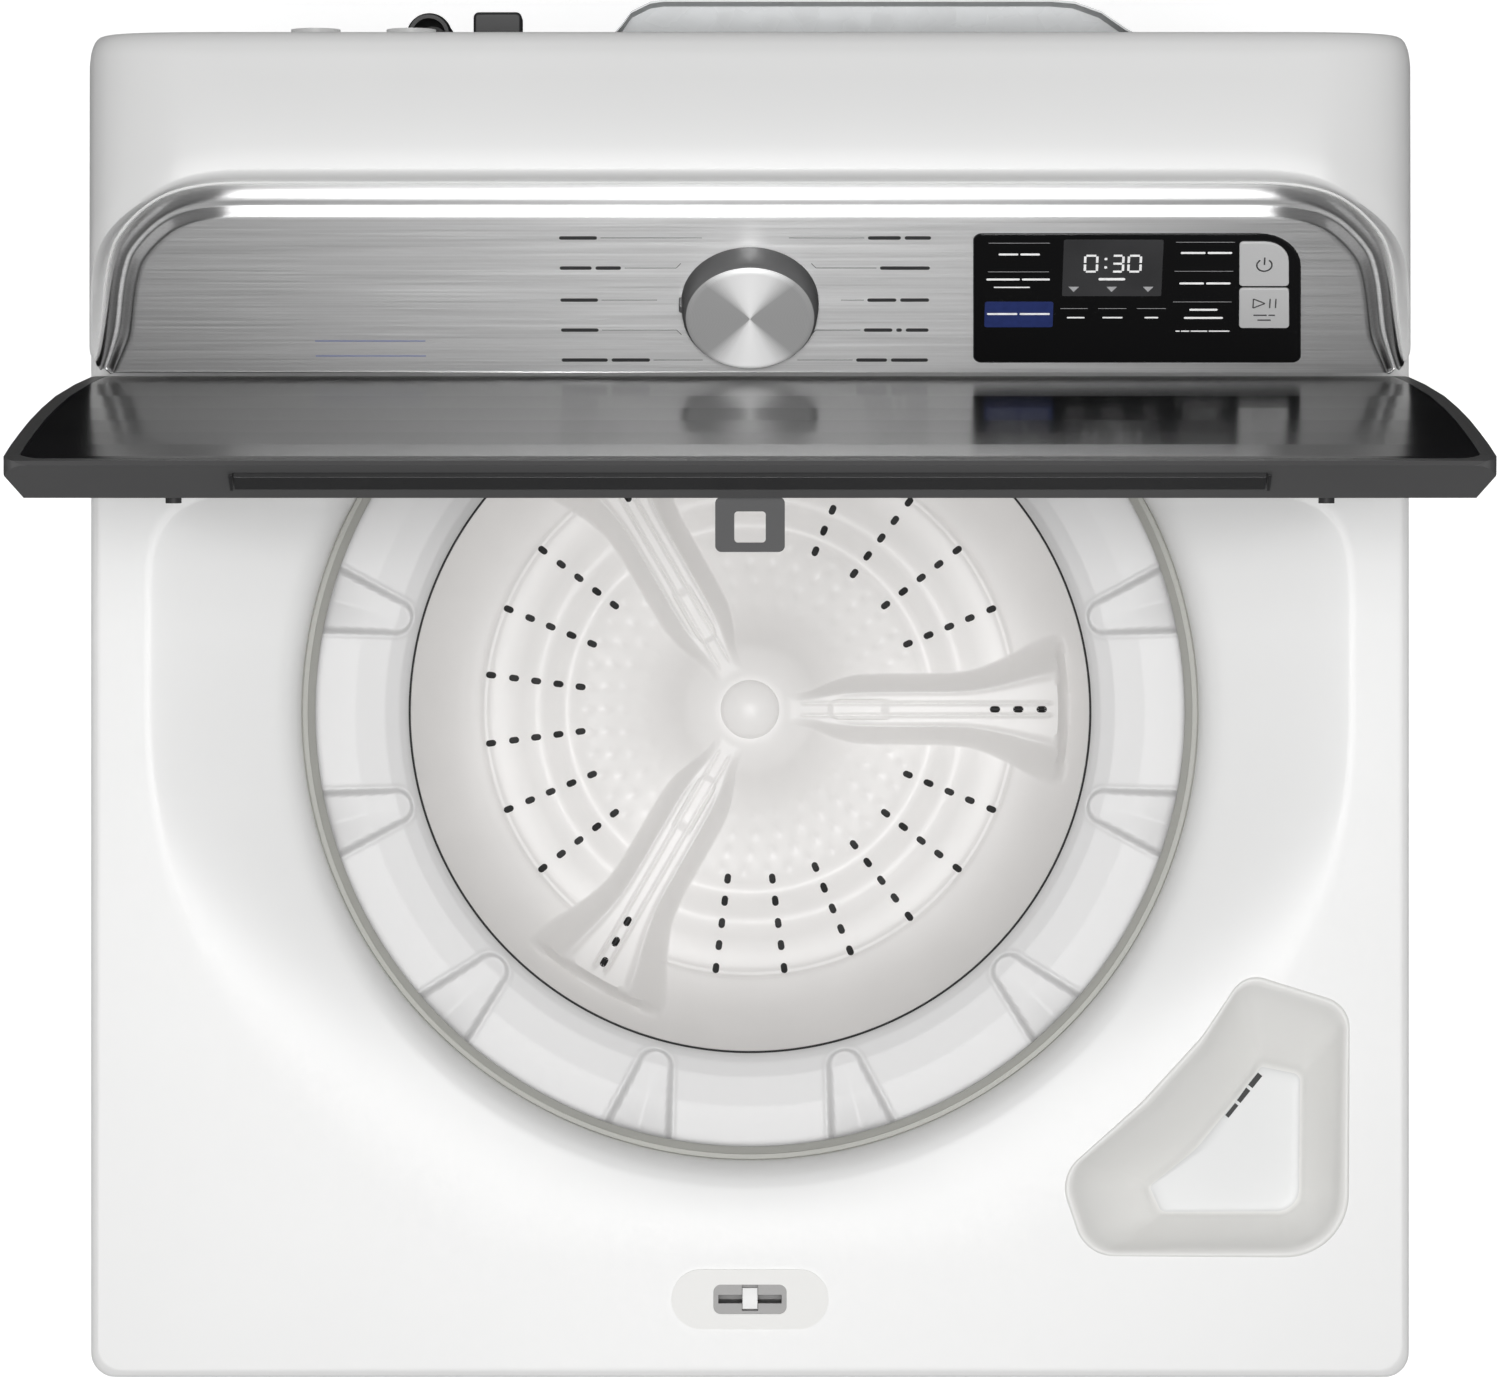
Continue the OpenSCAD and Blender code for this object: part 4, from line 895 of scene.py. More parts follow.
def cup_piece():
    """Detergent cup: a soft rim, sloping sides and a flat floor."""

    def mixed(t, z, grow):
        row = [(a[0] + (b[0] - a[0]) * t, a[1] + (b[1] - a[1]) * t) for a, b in zip(cup_top, cup_low)]
        return at_height(offset(row, grow, CUP_MID), z)

    steps = [
        (0.0, DECK - 0.1, 2.6), (0.0, DECK + 0.45, 2.3), (0.0, DECK + 0.75, 1.4), (0.0, DECK + 0.7, 0.2),
        (0.0, DECK + 0.2, -1.2), (0.0, DECK - 0.9, -2.3), (0.02, DECK - 2.6, -2.9),
    ]
    for k in range(1, 13):
        t = k / 12
        steps.append((0.02 + 0.93 * t ** 1.12, DECK - 2.6 - (CUP_DEPTH - 7.0) * t, -2.9 * (1 - t)))
    steps += [(0.985, CUP_BED + 1.2, 0.0), (1.0, CUP_BED + 0.3, -1.4)]
    steps += [(1.0, CUP_BED, -3.2), (1.0, CUP_BED, -8.0)]
    rows = [mixed(t, z, grow) for t, z, grow in steps]
    inner = rows[-1]
    for k in range(1, 6):
        rows.append([(x + (CUP_MID[0] - x) * k / 6, y + (CUP_MID[1] - y) * k / 6, z) for x, y, z in inner])
    n = len(cup_top)
    faces = ring_faces(len(rows), n)
    faces.append(end_face(len(rows), n))
    obj = make("detergent_cup", flatten(rows), faces, "cabinet", WARM, 60.0)
    faces_down = sum(p.normal.z * p.area for p in obj.data.polygons) < 0
    thicken(obj, 1.4, 1.0 if faces_down else -1.0)
    return obj


cup = cup_piece()
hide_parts("dispenser_cup")
# The cup's floor takes a greyer, cooler copy of its plastic: painted shade on the floor of the deep cup.
cup.data.materials.append(surface("cup_floor", (0.76, 0.765, 0.765), 0.4, vary=0.012, grain=1500.0))
for polygon in cup.data.polygons:
    if polygon.center.z < (CUP_BED + 0.4) * MM:
        polygon.material_index = 1

# ---------------------------------------------------------------- balance ring, wash plate and basket

RING_TOP = 886.0
BASKET_R = 262.0
PLATE_Z = 366.0


def heightfield(name, radii, n, height, body, material, smooth):
    """A disc or ring of points round the axis with a height for each."""
    verts = [(*polar(a, r), height(r, a)) for r in radii for a in circle_angles(n)]
    return make(name, verts, ring_faces(len(radii), n), body, material, smooth)


def ring_pocket(r, a):
    """How far a point is inside one of the ring's twelve tapered pockets, in millimetres."""
    step = math.radians(30)
    local = (a - math.radians(15) + step / 2) % step - step / 2
    x = r * math.cos(local) - 197.0
    y = abs(r * math.sin(local))
    if x < 0:
        return 8.6 - math.hypot(x, y)
    return (8.6 + x * 0.235 - y) * 0.97


def ring_height(r, a):
    base = between([
        (182.4, RING_TOP - 12), (183.2, RING_TOP - 8.6), (185, RING_TOP - 6.2), (188, RING_TOP - 4.6),
        (196, RING_TOP - 3.2), (212, RING_TOP - 1.4), (230, RING_TOP - 0.3), (242, RING_TOP),
        (252, RING_TOP - 0.6), (258, RING_TOP - 3), (262, RING_TOP - 8),
    ], r)
    inside = ring_pocket(r, a)
    sink = 2.4 * ease(-0.9, 0.9, inside) + 0.02 * max(inside, 0) * max(r - 192, 0) * 0.12
    rim = 0.35 * math.exp(-((inside + 2.0) / 1.0) ** 2)
    fade = ease(262, 250, r) if r > 250 else 1.0
    return base - (sink - rim) * fade


ring_radii = [182.4, 182.7, 183.2, 184.0, 185.0, 186.2] + [187.0 + 0.75 * i for i in range(74)]
ring_radii += [243.5, 246, 249, 252, 255, 258, 260, 262]
ring = heightfield("balance_ring_top", ring_radii, 1080, ring_height, "basket", RING, 70.0)
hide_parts("balance_ring")
lathe("balance_ring_wall", [
    (262.0, RING_TOP - 8), (263.4, RING_TOP - 10), (263.4, RING_TOP - 36), (261.6, RING_TOP - 38),
    (186.5, RING_TOP - 38), (185.2, RING_TOP - 37), (185.0, RING_TOP - 30), (185.0, RING_TOP - 16),
    (183.2, RING_TOP - 15), (182.4, RING_TOP - 12),
], "basket", RING)
bead = lathe("dark_bead", [
    (184.0 + 1.5 * math.cos(math.radians(30 * k)), RING_TOP - 9.6 + 1.6 * math.sin(math.radians(30 * k)))
    for k in range(12)
], "basket", RUBBER, n=240, wrap=True, smooth=60.0)
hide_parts("ring_bead")

PLATE_PROFILE = [
    (14, 51.0), (22, 50.0), (30, 46.5), (38, 40.5), (44, 33.0), (50, 26.0), (56, 20.5), (62, 16.2),
    (70, 12.6), (80, 9.8), (92, 7.6), (99, 6.6), (103, 5.6), (107, 4.4), (111, 3.9), (115, 4.8),
    (119, 7.0), (124, 9.2), (129, 10.0), (135, 9.4), (142, 8.4), (150, 8.0), (157, 8.4), (160, 9.6),
    (163, 11.2), (170, 12.6),
    (178, 14.6), (186, 17.6), (194, 20.8), (204, 24.2), (216, 28.0), (228, 31.6), (236, 33.0), (238, 32.2),
]
PLATE_CURVE = smooth_line(PLATE_PROFILE, 5)
VANE_TOP = [(0, 50.0), (24, 49.4), (44, 47.2), (70, 45.4), (110, 45.0), (150, 45.4), (180, 47.2), (195, 48)]
VANE_WIDTH = smooth_line([
    (0, 9.0), (24, 9.6), (36, 11.5), (48, 16.5), (60, 20.2), (72, 21.4), (96, 21.8), (124, 22.4),
    (140, 25.6), (156, 32.5), (170, 40.5), (182, 45.6), (190, 46.4), (230, 46.4),
], 4)
VANES = [0.0, 120.0, 240.0]


def vane_local(r, a):
    """Distance along and across the nearest vane."""
    step = math.radians(120)
    local = (a + step / 2) % step - step / 2
    return r * math.cos(local), r * math.sin(local)


def dimple(r, a):
    """Shallow oval dimples in rows inside the inner disc."""
    h = 0.0
    for row, centre in enumerate((64.0, 75.5, 87.0, 98.0)):
        if abs(r - centre) < 7:
            count = int(2 * math.pi * centre / 13.5)
            step = 2 * math.pi / count
            local = (a + (0.5 * step if row % 2 else 0.0) + step / 2) % step - step / 2
            h += math.exp(-((r - centre) / 3.4) ** 2 - (centre * local / 2.9) ** 2)
    return 0.8 * h


def plate_height(r, a):
    """Height of the wash plate: its turned profile with three vanes, grooves and dimples."""
    base = between(PLATE_CURVE, r)
    x, y = vane_local(r, a)
    half = between(VANE_WIDTH, x)
    d = abs(y) / half
    end = ease(191.5, 185.0, x + 0.0009 * y * y) if x > 180 else 1.0
    body = ease(1.0, 0.46, d) ** 0.85 * end if x > 0 else 0.0
    top = between(VANE_TOP, x)
    groove = 0.0
    if 30 < x < 182:
        groove += 1.5 * math.exp(-((abs(y) - 3.6) / 0.9) ** 2) * ease(30, 33, x) * ease(182, 178, x)
        rim = math.hypot(max(54.0 - x, 0.0), y) if x < 54 else abs(y)
        groove += 2.2 * ease(6.4, 5.4, rim) * ease(84, 78, x) * ease(46, 49, x)
    ridge = 1.6 * math.exp(-((d - 0.47) / 0.06) ** 2) * ease(50, 66, x) * ease(186, 176, x)
    raised = max(top - base, 0.0) * body
    plain = 1.0 - ease(0.0, 1.0, body * 3)
    scallop = 1.2 * math.exp(-((r - 161.0) / 1.0) ** 2)
    detail = (ridge - groove) * ease(0.0, 6.0, raised) - (dimple(r, a) + scallop) * plain
    return PLATE_Z + base + raised + detail


SLOT_LONG = 6.2
SLOT_WIDE = 3.9
SLOT_ROWS = [103.5, 117.0, 130.5, 144.0, 158.0]
VANE_SLOTS = [147.0, 161.0, 175.0]
SLOT_STRAIGHT = (SLOT_LONG - SLOT_WIDE) / 2
PLATE_SPOKES = 1440


def slot_places():
    """Centres of the drain slots: five on each spoke, and three on each vane."""
    places = []
    for k in range(24):
        degrees = 7.5 + 15 * k
        away = min(abs((degrees - v + 180) % 360 - 180) for v in VANES)
        if away > 10:
            places += [(r, degrees) for r in SLOT_ROWS if away > 15 or r < 150]
    for v in VANES:
        places += [(r, v) for r in VANE_SLOTS]
    return places


def slot_reach(u, v):
    """Distance of a point from a slot's outline, negative inside."""
    return math.hypot(max(abs(u) - SLOT_STRAIGHT, 0.0), v) - SLOT_WIDE / 2


def plate_piece():
    """Wash plate: faces inside a drain slot dropped, and the points round it moved to its outline."""
    radii = [14.0 + 1.6 * i for i in range(54)] + [100.2 + 0.9 * i for i in range(90)]
    radii += [181.0 + 1.9 * i for i in range(30)] + [236.8, 238.0]
    n = PLATE_SPOKES
    step = 2 * math.pi / n
    drop = set()
    near = {}
    for r0, degrees in slot_places():
        a0 = math.radians(degrees)
        for j, r in enumerate(radii[:-1]):
            if abs(r - r0) > 6:
                continue
            i0 = int(a0 / step) - 6
            for i in range(i0, i0 + 13):
                u = (r + radii[j + 1]) / 2 - r0
                v = r0 * ((i + 0.5) * step - a0)
                if slot_reach(u, v) < 0:
                    drop.add((j, i % n))
                    for dj, di in ((0, 0), (0, 1), (1, 0), (1, 1)):
                        near.setdefault((j + dj, (i + di) % n), (r0, a0, i + di))
    verts = []
    for j, r in enumerate(radii):
        for i in range(n):
            a = i * step
            rr, aa = r, a
            hit = near.get((j, i))
            if hit:
                r0, a0, ii = hit
                u, v = r - r0, r0 * (ii * step - a0)
                cu = min(max(u, -SLOT_STRAIGHT), SLOT_STRAIGHT)
                away = math.hypot(u - cu, v)
                if away > 1e-6:
                    k = SLOT_WIDE / 2 / away
                    rr, aa = r0 + cu + (u - cu) * k, a0 + v * k / r0
            verts.append((*polar(aa, rr), plate_height(r, a)))
    faces = [f for k, f in enumerate(ring_faces(len(radii), n)) if (k // n, k % n) not in drop]
    obj = make("wash_plate_top", verts, faces, "drive", PLATE, 60.0)
    # The slots' walls take the second material: painted shade inside the drain slots.
    obj.data.materials.append(SLOT_SHADE)
    thicken(obj, 2.6).material_offset_rim = 1
    return obj


plate = plate_piece()
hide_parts("wash_plate")
# A near-black sheet 5 mm under the wash plate: painted shade seen through its slots.
shade_sheet_radii = [88.0 + 5.0 * i for i in range(21)]
heightfield(
    "plate_shade_sheet", shade_sheet_radii, 360, lambda r, a: plate_height(r, a) - 5.2,
    "drive", SLOT_SHADE, 60.0,
)
cap = lathe("hub_cap", [
    (0.01, 424.0), (3, 423.9), (7, 423.2), (11, 421.9), (14.5, 420.2), (16.6, 418.4), (17.6, 416.8),
    (18.0, 415.4), (17.2, 414.6), (17.2, 413.6), (18.8, 413.0), (19.6, 412.0), (19.8, 409.0),
], "drive", PLATE, n=96)
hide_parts("wash_plate_cap")


def basket_piece():
    """Steel drum wall with its perforations, over a dished floor."""
    columns, rows = 104, 26
    z0, z1 = 392.0, 846.0
    cell = (z1 - z0) / rows
    hole = 2.1
    verts = []
    faces = []
    index = {}

    def point(u, v):
        key = (round(u, 3) % (columns * 8), round(v, 3))
        if key not in index:
            a = 2 * math.pi * u / (columns * 8)
            index[key] = len(verts)
            verts.append((*polar(a, BASKET_R), z0 + cell * v))
        return index[key]

    arc_u = 2 * math.pi * BASKET_R / (columns * 8)
    for j in range(rows):
        for i in range(columns):
            shift = 4 if j % 2 else 0
            u0 = 8 * i + shift
            outer = [point(u0 + x, j + y) for x, y in (
                (0, 0), (4, 0), (8, 0), (8, 0.5), (8, 1), (4, 1), (0, 1), (0, 0.5))]
            inner = []
            for x, y in ((-1, -1), (0, -1), (1, -1), (1, 0), (1, 1), (0, 1), (-1, 1), (-1, 0)):
                d = math.hypot(x, y)
                inner.append(point(u0 + 4 + x / d * hole / arc_u, j + 0.5 + y / d * hole / cell))
            for k in range(8):
                m = (k + 1) % 8
                faces.append((outer[k], outer[m], inner[m], inner[k]))
    obj = make("basket_wall", verts, faces, "basket", BASKET_WALL_GLOW, 60.0)
    thicken(obj, 0.8)
    return obj


basket = basket_piece()
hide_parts("basket")
lathe("basket_collar", [
    (262.0, 846.0), (262.0, 848.0), (261.2, 849.4), (261.2, 851.0), (262.9, 851.0), (262.9, 846.0),
], "basket", STAINLESS, wrap=True)
lathe("basket_floor", [
    (40, 352), (180, 352), (242, 352.4), (252, 355), (258, 359.5), (261.4, 366), (263, 374), (263, 392.5),
    (262, 392.5), (262, 374.6), (260.4, 366.6), (257.2, 360.6), (251.6, 356.4), (241.5, 354), (40, 354),
], "basket", STAINLESS, wrap=True)

# ---------------------------------------------------------------- console

FACE_Y = 164.5
FACE_Z = DECK + 64.0
FACE_TILT = math.atan2(69.0, 77.5)
KNOB_U = 48.9


def on_face(x, u, n):
    """A point in the plane of the console's face: along it, up it and out of it."""
    c, s = math.cos(FACE_TILT), math.sin(FACE_TILT)
    return (x, FACE_Y + u * c - n * s, FACE_Z + u * s + n * c)


FACE_MATRIX = Matrix.Translation((0, FACE_Y * MM, FACE_Z * MM)) @ Matrix.Rotation(FACE_TILT, 4, "X")

FASCIA_HALF = [
    (341.5, 0.0), (338.6, 10.4), (334.9, 33.8), (332.4, 52.4), (329.8, 66.2), (326.4, 77.7),
    (322.0, 85.8), (317.1, 92.6), (310.4, 100.1), (302.9, 106.3), (294.6, 110.8), (285.5, 113.8),
    (274.6, 115.8), (263.9, 116.6), (250.0, 116.8), (230.0, 116.8),
]


def inward(points):
    """Inward directions along an open outline that runs anticlockwise."""
    out = []
    for i in range(len(points)):
        a = Vector(points[max(i - 1, 0)])
        b = Vector(points[min(i + 1, len(points) - 1)])
        d = (b - a).normalized()
        out.append(Vector((-d.y, d.x)))
    return out


def fascia_piece():
    """Brushed face with a rolled border and the crease inside it."""
    right = smooth_line(FASCIA_HALF, 6)
    outline = right + [(-x, y) for x, y in reversed(right)]
    normals = inward(outline)
    section = [
        (0.0, -10.4), (0.1, -8.8), (0.5, -7.4), (1.2, -6.1), (2.2, -5.0), (3.4, -4.1), (4.6, -3.55),
        (5.8, -3.3), (7.2, -3.35), (8.8, -3.7), (9.3, -3.55), (9.9, -3.1), (11.6, -1.7), (13.1, -0.45),
        (13.7, -0.1), (14.6, 0.0), (17.0, 0.0),
    ]
    rows = []
    for inset, n in section:
        row = []
        for p, d in zip(outline, normals):
            side = ease(0.0, 30.0, p[1])
            x = p[0] + d.x * inset * (0.62 + 0.38 * side)
            u = max(p[1] + d.y * inset, 0.0)
            row.append(on_face(x, u, n))
        rows.append(row)
    obj = make("console_face", flatten(rows), web_faces(rows), "cabinet", STEEL, 50.0)
    thicken(obj, 0.9)
    return obj


face = fascia_piece()
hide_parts("console_fascia")

SHELL_HALF = [
    (344.8, 57.0), (343.8, 66.0), (342.2, 84.0), (339.8, 102.0), (336.4, 114.0), (330.0, 125.0),
    (319.0, 133.4), (303.0, 138.2), (282.0, 139.8), (230.0, 140.0),
]
SHELL_LOW = [(348.9, 0.0), (347.6, 20.0), (346.2, 40.0), (345.2, 52.0)]
SHELL_TOP = 142.0
SHELL_BACK = 323.0
BACK_DROP = 4.5


def spaced(points, count):
    """The same open line with its points evenly spaced."""
    lengths = [0.0]
    for a, b in zip(points, points[1:]):
        lengths.append(lengths[-1] + math.dist(a, b))
    along = [lengths[-1] * k / (count - 1) for k in range(count)]
    xs = [(d, p[0]) for d, p in zip(lengths, points)]
    ys = [(d, p[1]) for d, p in zip(lengths, points)]
    return [(between(xs, d), between(ys, d)) for d in along]


def shell_piece():
    """White housing that runs back from the face's edge to the rear, with a rounded rear edge."""
    face_edge = spaced(smooth_line(FASCIA_HALF, 6), 60)
    outline = SHELL_LOW + spaced(smooth_line(SHELL_HALF, 6), 60)
    lip = [(x - 7.0, 171.0, DECK + h) for x, h in SHELL_LOW]
    lip += [on_face(x + 0.5, u + 0.5, -9.4) for x, u in face_edge]
    edge = [(x - 7.0, 171.5, DECK + h) for x, h in SHELL_LOW]
    edge += [on_face(x + 1.2, u + 1.0, -10.2) for x, u in face_edge]
    rows = [lip, edge]
    for back, share in ((1.2, 0.45), (2.6, 0.78), (4.6, 0.95), (7.0, 1.0)):
        row = []
        for (x, h), p in zip(outline, edge):
            row.append((p[0] + (x - p[0]) * share, p[1] + back, p[2] + (DECK + h - p[2]) * share))
        rows.append(row)
    for k in range(1, 6):
        row = []
        for (x, h), p in zip(outline, edge):
            y = p[1] + 7.0
            drop = BACK_DROP * (k / 5) ** 2 * min(h / SHELL_TOP, 1.0)
            row.append((x, y + (SHELL_BACK - y) * k / 5, DECK + h - drop))
        rows.append(row)
    for turn in range(1, 11):
        t = math.radians(9.0 * turn)
        round_off = 1 - math.cos(t)
        row = []
        for x, h in outline:
            drop = (BACK_DROP + 15.0 * round_off) * min(h / SHELL_TOP, 1.0)
            row.append((x - 4.5 * round_off, SHELL_BACK + 14.0 * math.sin(t), DECK + h - drop))
        rows.append(row)
    rows = [row + [(-x, y, z) for x, y, z in reversed(row)] for row in rows]
    obj = make("console_shell", flatten(rows), web_faces(rows), "cabinet", SHELL, 45.0)
    thicken(obj, 2.2)
    return obj


shell = shell_piece()
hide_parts("console_housing")
apron = slab(-342.6, 0.2, 342.6, 57.4, 1.0, 2)
apron_rows = [[(x, y, DECK + h) for x, h in apron] for y in (173.6, 171.2)]
stack("console_apron", apron_rows, "cabinet", SHELL)


def flat_on_face(name, outline, n0, n1, material, body="cabinet", edge=0.0):
    """A thin raised shape on the console's face."""
    rows = [[on_face(x, u, n) for x, u in outline] for n in (n0, n1)]
    obj = stack(name, rows, body, material)
    if edge:
        add_bevel(obj, edge)
    return obj


def key_cap(name, outline, body):
    return flat_on_face(name, outline, -3.0, KEY_TOP, KEY, body, 0.5)


PANEL_PTS = [(116.75, 7.45), (286.05, 7.45), (281.95, 91.75), (115.05, 91.75)]
SEAM = 0.6
SEAM_PTS = [
    (x + SEAM * dx, u + SEAM * du)
    for (x, u), (dx, du) in zip(PANEL_PTS, ((-1, -1), (1, -1), (1, 1), (-1, 1)))
]
KEY_TOP = 1.45
MARK_TOP = 1.57
cover = rounded(PANEL_PTS, [4, 4, 22, 4], 8)
panel = flat_on_face("display_cover", cover, -1.2, 0.35, PANEL, edge=0.3)
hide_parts("display_panel")
seam = rounded(SEAM_PTS, [4.4, 4.4, 22.6, 4.4], 8)
flat_on_face("display_seam", seam, -0.6, 0.06, BLACK)
power_outline = rounded([(252.3, 58.6), (277.9, 58.6), (276.4, 87.3), (251.2, 87.3)], [2, 2, 13, 2], 8)
power = key_cap("power_key_cap", power_outline, "power_key")
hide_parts("power_button")
start_outline = rounded([(253.4, 30.8), (279.4, 30.8), (278, 57), (252.4, 57)], [2, 2, 2, 2], 6)
start = key_cap("start_key_cap", start_outline, "start_key")
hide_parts("start_button")


def upright(x, y, z):
    return (x, y, z)


class Marks:
    """Many small flat marks gathered in one piece, on the console's face unless placed elsewhere."""

    def __init__(self, n0, n1, place=on_face):
        self.n0, self.n1 = n0, n1
        self.place = place
        self.verts, self.faces = [], []

    def add(self, outline):
        start = len(self.verts)
        n = len(outline)
        for level in (self.n0, self.n1):
            self.verts += [self.place(x, u, level) for x, u in outline]
        self.faces += [tuple(start + i for i in f) for f in ring_faces(2, n)]
        self.faces.append(tuple(start + n + i for i in range(n)))

    def bar(self, x0, u0, x1, u1, width):
        d = Vector((x1 - x0, u1 - u0)).normalized() * width / 2
        self.add([(x0 + d.y, u0 - d.x), (x1 + d.y, u1 - d.x), (x1 - d.y, u1 + d.x), (x0 - d.y, u0 + d.x)])

    def words(self, x0, x1, u, height, parts):
        """Rounded dashes in place of a printed label's words."""
        gap = height * 0.9
        room = x1 - x0 - gap * (len(parts) - 1)
        x = x0
        for part in parts:
            w = room * part / sum(parts)
            self.add(slab(x, u - height / 2, x + w, u + height / 2, height * 0.49, 4))
            x += w + gap

    def ring(self, x, u, r, width, start, end):
        outer = arc(x, u, r + width / 2, start, end, 20)
        inner = arc(x, u, r - width / 2, end, start, 20)
        self.add(outer + inner)

    def done(self, name, material, body="cabinet"):
        return make(name, self.verts, self.faces, body, material, 30.0)


# For each label: its ends, height up the face and word lengths, its line's inner end and that end's bend.
LABELS = [
    (-98.0, -78.5, 89.3, (1,), -24.6, 0), (-98.0, -66.4, 69.6, (5, 4), -38.0, 1),
    (-98.0, -78.5, 48.5, (1,), -48.0, 0), (-98.0, -78.5, 28.6, (1,), -38.0, -1),
    (-98.0, -52.0, 8.6, (6, 5), -24.6, 0), (60.5, 92.9, 89.3, (5, 4), 20.0, 0),
    (66.9, 92.6, 69.6, (1,), 34.0, 1), (60.6, 92.6, 48.5, (5, 5), 47.0, 0),
    (59.0, 92.6, 28.6, (5, 1, 4), 34.0, -1), (55.2, 92.6, 8.6, (5, 6), 24.6, 0),
]
ink = Marks(0.0, 0.12)
lines = Marks(0.0, 0.10)
for x0, x1, u, parts, inner, bend in LABELS:
    ink.words(x0, x1, u, 2.2, parts)
    near = x1 + 1.8 if x1 < 0 else x0 - 1.8
    lines.bar(near, u, inner, u, 0.3)
    if bend:
        lines.bar(inner, u, inner - math.copysign(2.4, inner), u + 3.0 * bend, 0.3)
ink.done("cycle_marks", INK)
lines.done("leader_lines", INK)
blue = Marks(0.0, 0.10)
for u in (21.3, 11.3):
    blue.bar(-225.8, u, -168.5, u, 0.5)
blue.done("blue_lines", INK_BLUE)

WINDOW = surface("window_grey", (0.075, 0.075, 0.078), 0.3, vary=0.15, cloud=20.0)
flat_on_face("display_window", slab(161.1, 51.4, 212.3, 88.4, 1.0, 3), 0.30, 0.42, WINDOW)
flat_on_face("lit_key", slab(121.4, 30.8, 156.8, 47.7, 1.2, 3), 0.30, 0.42, LIT_BLUE)
SEGMENTS_OF = {"0": "abcdef", "3": "abcdg"}
digits = Marks(0.40, 0.50)


def digit(x, w, which):
    """Seven-segment numeral at x, as wide as w."""
    u, mid, top = 67.6, 72.8, 78.0
    ends = {
        "a": (x, top, x + w, top), "b": (x + w, mid, x + w, top), "c": (x + w, u, x + w, mid),
        "d": (x, u, x + w, u), "e": (x, u, x, mid), "f": (x, mid, x, top), "g": (x, mid, x + w, mid),
    }
    for key in SEGMENTS_OF[which]:
        x0, u0, x1, u1 = ends[key]
        d = Vector((x1 - x0, u1 - u0)).normalized() * 0.55
        digits.bar(x0 + d.x, u0 + d.y, x1 - d.x, u1 - d.y, 1.25)


digit(172.4, 6.2, "0")
for u in (69.6, 75.1):
    digits.add(slab(182.3, u, 183.8, u + 1.5, 0.5, 3))
digit(186.4, 5.6, "3")
digit(194.8, 6.2, "0")
digits.words(179.6, 193.4, 62.6, 1.5, (1,))
digits.done("display_digits", LIT)
small = Marks(0.40, 0.48)
for x in (167.0, 186.6, 205.4):
    small.add([(x - 2.7, 57.6), (x, 54.2), (x + 2.7, 57.6)])
for x0, x1, u in (
    (122.5, 154.0, 86.2), (122.5, 154.0, 67.4), (160.6, 174.6, 43.2), (180.0, 194.6, 43.2),
    (200.0, 215.0, 43.2), (218.6, 248.8, 86.8), (218.6, 248.8, 67.8), (218.6, 248.8, 47.6),
):
    small.bar(x0, u, x1, u, 0.22)
small.done("display_soft_marks", LIT_SOFT)
legend = Marks(0.40, 0.48)
for x0, x1, u, parts, h in (
    (127.8, 149.0, 78.8, (4, 4), 1.5), (121.8, 154.6, 62.4, (6, 5), 1.5), (125.8, 144.4, 57.2, (1,), 0.9),
    (122.6, 155.2, 39.6, (5, 5), 1.5), (164.0, 173.2, 37.2, (1,), 1.1), (182.4, 192.8, 37.2, (1,), 1.1),
    (204.2, 211.4, 37.2, (1,), 1.1), (221.4, 247.8, 79.8, (5, 5), 1.5), (221.4, 247.8, 59.8, (5, 5), 1.5),
    (227.2, 241.8, 42.4, (1,), 1.5), (224.6, 244.8, 37.0, (1,), 1.5),
    (220.6, 248.6, 28.2, (1, 2, 4, 5), 0.9),
):
    legend.words(x0, x1, u, h * 0.8, parts)
legend.done("display_legend", LIT)
icon = Marks(KEY_TOP, MARK_TOP)
icon.ring(264.6, 72.6, 3.9, 0.8, 125, 415)
icon.bar(264.6, 72.8, 264.6, 77.6, 0.8)
icon.done("power_mark", INK, "power_key")
icon = Marks(KEY_TOP, MARK_TOP)
for ends in (
    (260.0, 44.4, 266.0, 47.4), (266.0, 47.4, 260.0, 50.4), (260.0, 50.4, 260.0, 44.4),
    (268.6, 44.4, 268.6, 50.4), (271.6, 44.4, 271.6, 50.4),
):
    icon.bar(*ends, 0.65)
icon.words(260.4, 271.6, 39.6, 0.8, (4, 2))
icon.words(262.6, 269.6, 36.4, 0.8, (1,))
icon.done("start_mark", INK, "start_key")


def knob_piece(name, profile, material):
    """Revolved about the knob's own axis, its object turned to the face."""
    n = 192
    verts = [(r * math.cos(a), r * math.sin(a), z) for r, z in profile for a in circle_angles(n)]
    faces = ring_faces(len(profile), n)
    faces.append(end_face(len(profile), n))
    place = FACE_MATRIX @ Matrix.Translation((0, KNOB_U * MM, 0))
    return make(name, verts, faces, "selector", material, place=place)


knob = knob_piece("knob_skirt", [
    (30.0, 0.7), (34.6, 0.7), (35.4, 1.4), (35.5, 3.0), (35.3, 8.0), (34.6, 13.0), (33.6, 15.0),
    (32.9, 15.7), (32.2, 15.7), (31.8, 15.2),
], KNOB_SIDE)
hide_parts("selector_knob")
knob_piece("knob_top", [
    (33.2, 14.9), (33.1, 15.6), (32.5, 16.3), (31.6, 16.85), (30.6, 17.1), (29.8, 17.0), (27.0, 16.8),
    (18.0, 16.45), (9.0, 16.25), (3.0, 16.2), (0.5, 16.2),
], SPUN)


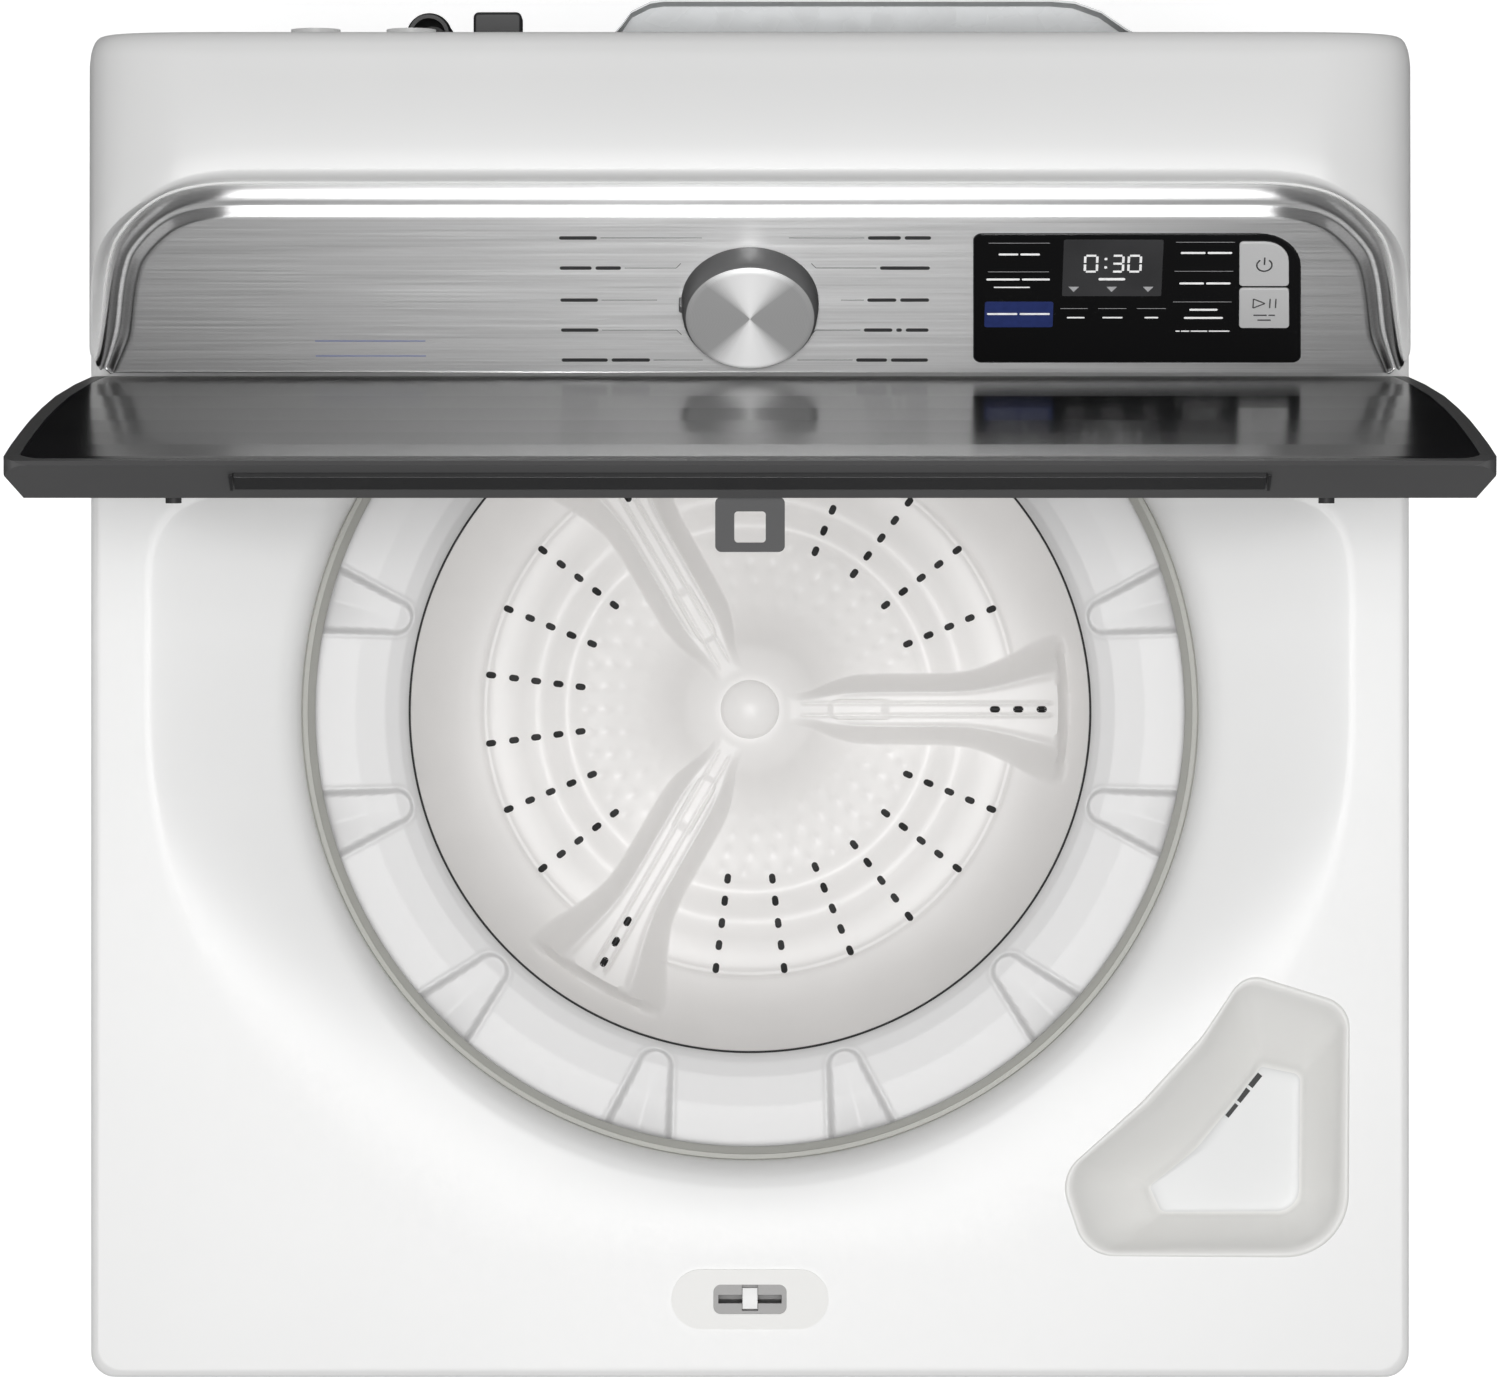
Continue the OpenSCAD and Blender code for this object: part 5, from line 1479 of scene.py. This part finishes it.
def pointer_piece():
    """Index tab at the left of the knob."""
    outline = [(-36.7, KNOB_U - 2.2), (-30.5, KNOB_U - 3.0), (-30.5, KNOB_U + 3.0), (-36.7, KNOB_U + 2.2)]
    rows = [[on_face(x * k, u, n) for x, u in outline] for n, k in ((0.9, 1.0), (7.6, 1.0), (8.6, 0.985))]
    obj = stack("knob_pointer", rows, "selector", KNOB_SIDE)
    add_bevel(obj, 0.5)


pointer_piece()

# ---------------------------------------------------------------- lid

LID_OPEN = -math.radians(86.0)
HINGE_Y, HINGE_Z = 138.0, 958.0


def on_lid(x, y, h):
    """A point of the closed lid, at a height above the deck, carried to the open lid."""
    c, s = math.cos(LID_OPEN), math.sin(LID_OPEN)
    dy, dz = y - HINGE_Y, DECK + h - HINGE_Z
    return (x, HINGE_Y + dy * c - dz * s, HINGE_Z + dy * s + dz * c)


def lid_strip(name, section, x0, x1):
    """A strip of painted shade along the lid's front edge: one closed section from x0 to x1."""
    rows = [[on_lid(x, y, h) for y, h in section] for x in (x0, x1)]
    return stack(name, rows, "lid", FRAME_SHADE)


# Near-black strips inside the grip recess and at its ends: painted shade.
GRIP_SHADE_SECTION = [(-352.9, 13.6), (-343.3, 7.5), (-342.2, 7.9), (-342.0, 11.0), (-351.6, 17.2)]
GRIP = [(-353.9, 14.3), (-342.6, 7.0), (-342.2, 7.6), (-353.5, 14.9)]
recess_shade = lid_strip("lid_grip_painted_shade", GRIP_SHADE_SECTION, -238.4, 238.4)
add_bevel(recess_shade, 0.2, 2)
lid_strip("lid_grip_end_shade_left", GRIP, -240.6, -239.2)
lid_strip("lid_grip_end_shade_right", GRIP, 239.2, 240.6)

# ---------------------------------------------------------------- dispenser slots

slot_from = Vector(CUP_FLOOR[5])
slot_run = (Vector(CUP_FLOOR[0]) - slot_from).normalized()
slot_in = Vector((slot_run.y, -slot_run.x))
# The slots are flat near-black marks on the cup's floor: painted shade where the holes would be dark.
drains = Marks(CUP_BED - 0.6, CUP_BED + 0.12, upright)
for k in range(3):
    middle = slot_from + slot_run * (31.0 + 10.2 * k) + slot_in * 2.7
    ends = ((-4.2, -1.5), (4.2, -1.5), (4.2, 1.5), (-4.2, 1.5))
    drains.add([tuple(middle + slot_run * along + slot_in * across) for along, across in ends])
drains.done("dispenser_slots", SLOT_SHADE)

# ---------------------------------------------------------------- finishes of the frame's own nodes

FINISH = {
    "white_enamel": ENAMEL, "galvanised_steel": GALV, "zinc_steel": ZINC, "white_plastic": SHELL,
    "warm_white_plastic": WARM, "grey_green_trim": TRIM, "dark_frame": FRAME_GREY, "dark_glass": GLASS,
    "display_glass": PANEL, "strike_grey": STRIKE, "lock_grey": LOCK, "black_rubber": RUBBER,
    "cord_black": RUBBER, "black_plastic": BLACK, "hose_grey": HOSE, "brushed_fascia": STEEL,
    "spun_aluminium": SPUN, "key_white": KEY,
    "circuit_green": BOARD, "tub_plastic": TUB, "stainless": STAINLESS, "plate_plastic": PLATE,
    "hub_aluminium": CAST, "shaft_steel": GROUND, "motor_core": CORE, "clutch_plastic": CLUTCH,
    "spring_steel": SPRING,
}
# Edge rounding of the CAD's own nodes, in millimetres.
EDGES = {
    "lid_frame": 1.0, "lid_glass": 0.7, "lid_strike": 0.6, "lid_bumpers": 0.5, "lid_lock_bezel": 0.9,
    "lid_lock_bolt": 0.5, "lid_hinge_arms": 0.5, "hinge_brackets": 0.4, "leveling_feet": 0.9,
    "foot_locknuts": 0.6, "drain_elbow": 0.5, "inlet_valve": 0.5, "access_plug": 0.6, "motor_cover": 1.0,
    "drain_pump": 0.8, "base_frame": 0.5, "rear_panel": 0.2, "rear_panel_screws": 0.3, "cabinet_wrap": 0.3,
    "lid_inner_panel": 0.6,
}
for entry in frame["record"]["subparts"]:
    node = frame["nodes"][entry["node"]]
    if node.hide_render:
        continue
    finish = FINISH[entry["material_slot"]]
    for holder in node.material_slots:
        holder.material = finish
    if not node.material_slots:
        node.data.materials.append(finish)
    if entry["node"] in EDGES:
        bevel = node.modifiers.new("edge", "BEVEL")
        bevel.width = EDGES[entry["node"]] * MM
        bevel.segments = 2
        bevel.limit_method = "ANGLE"
        bevel.angle_limit = math.radians(35.0)
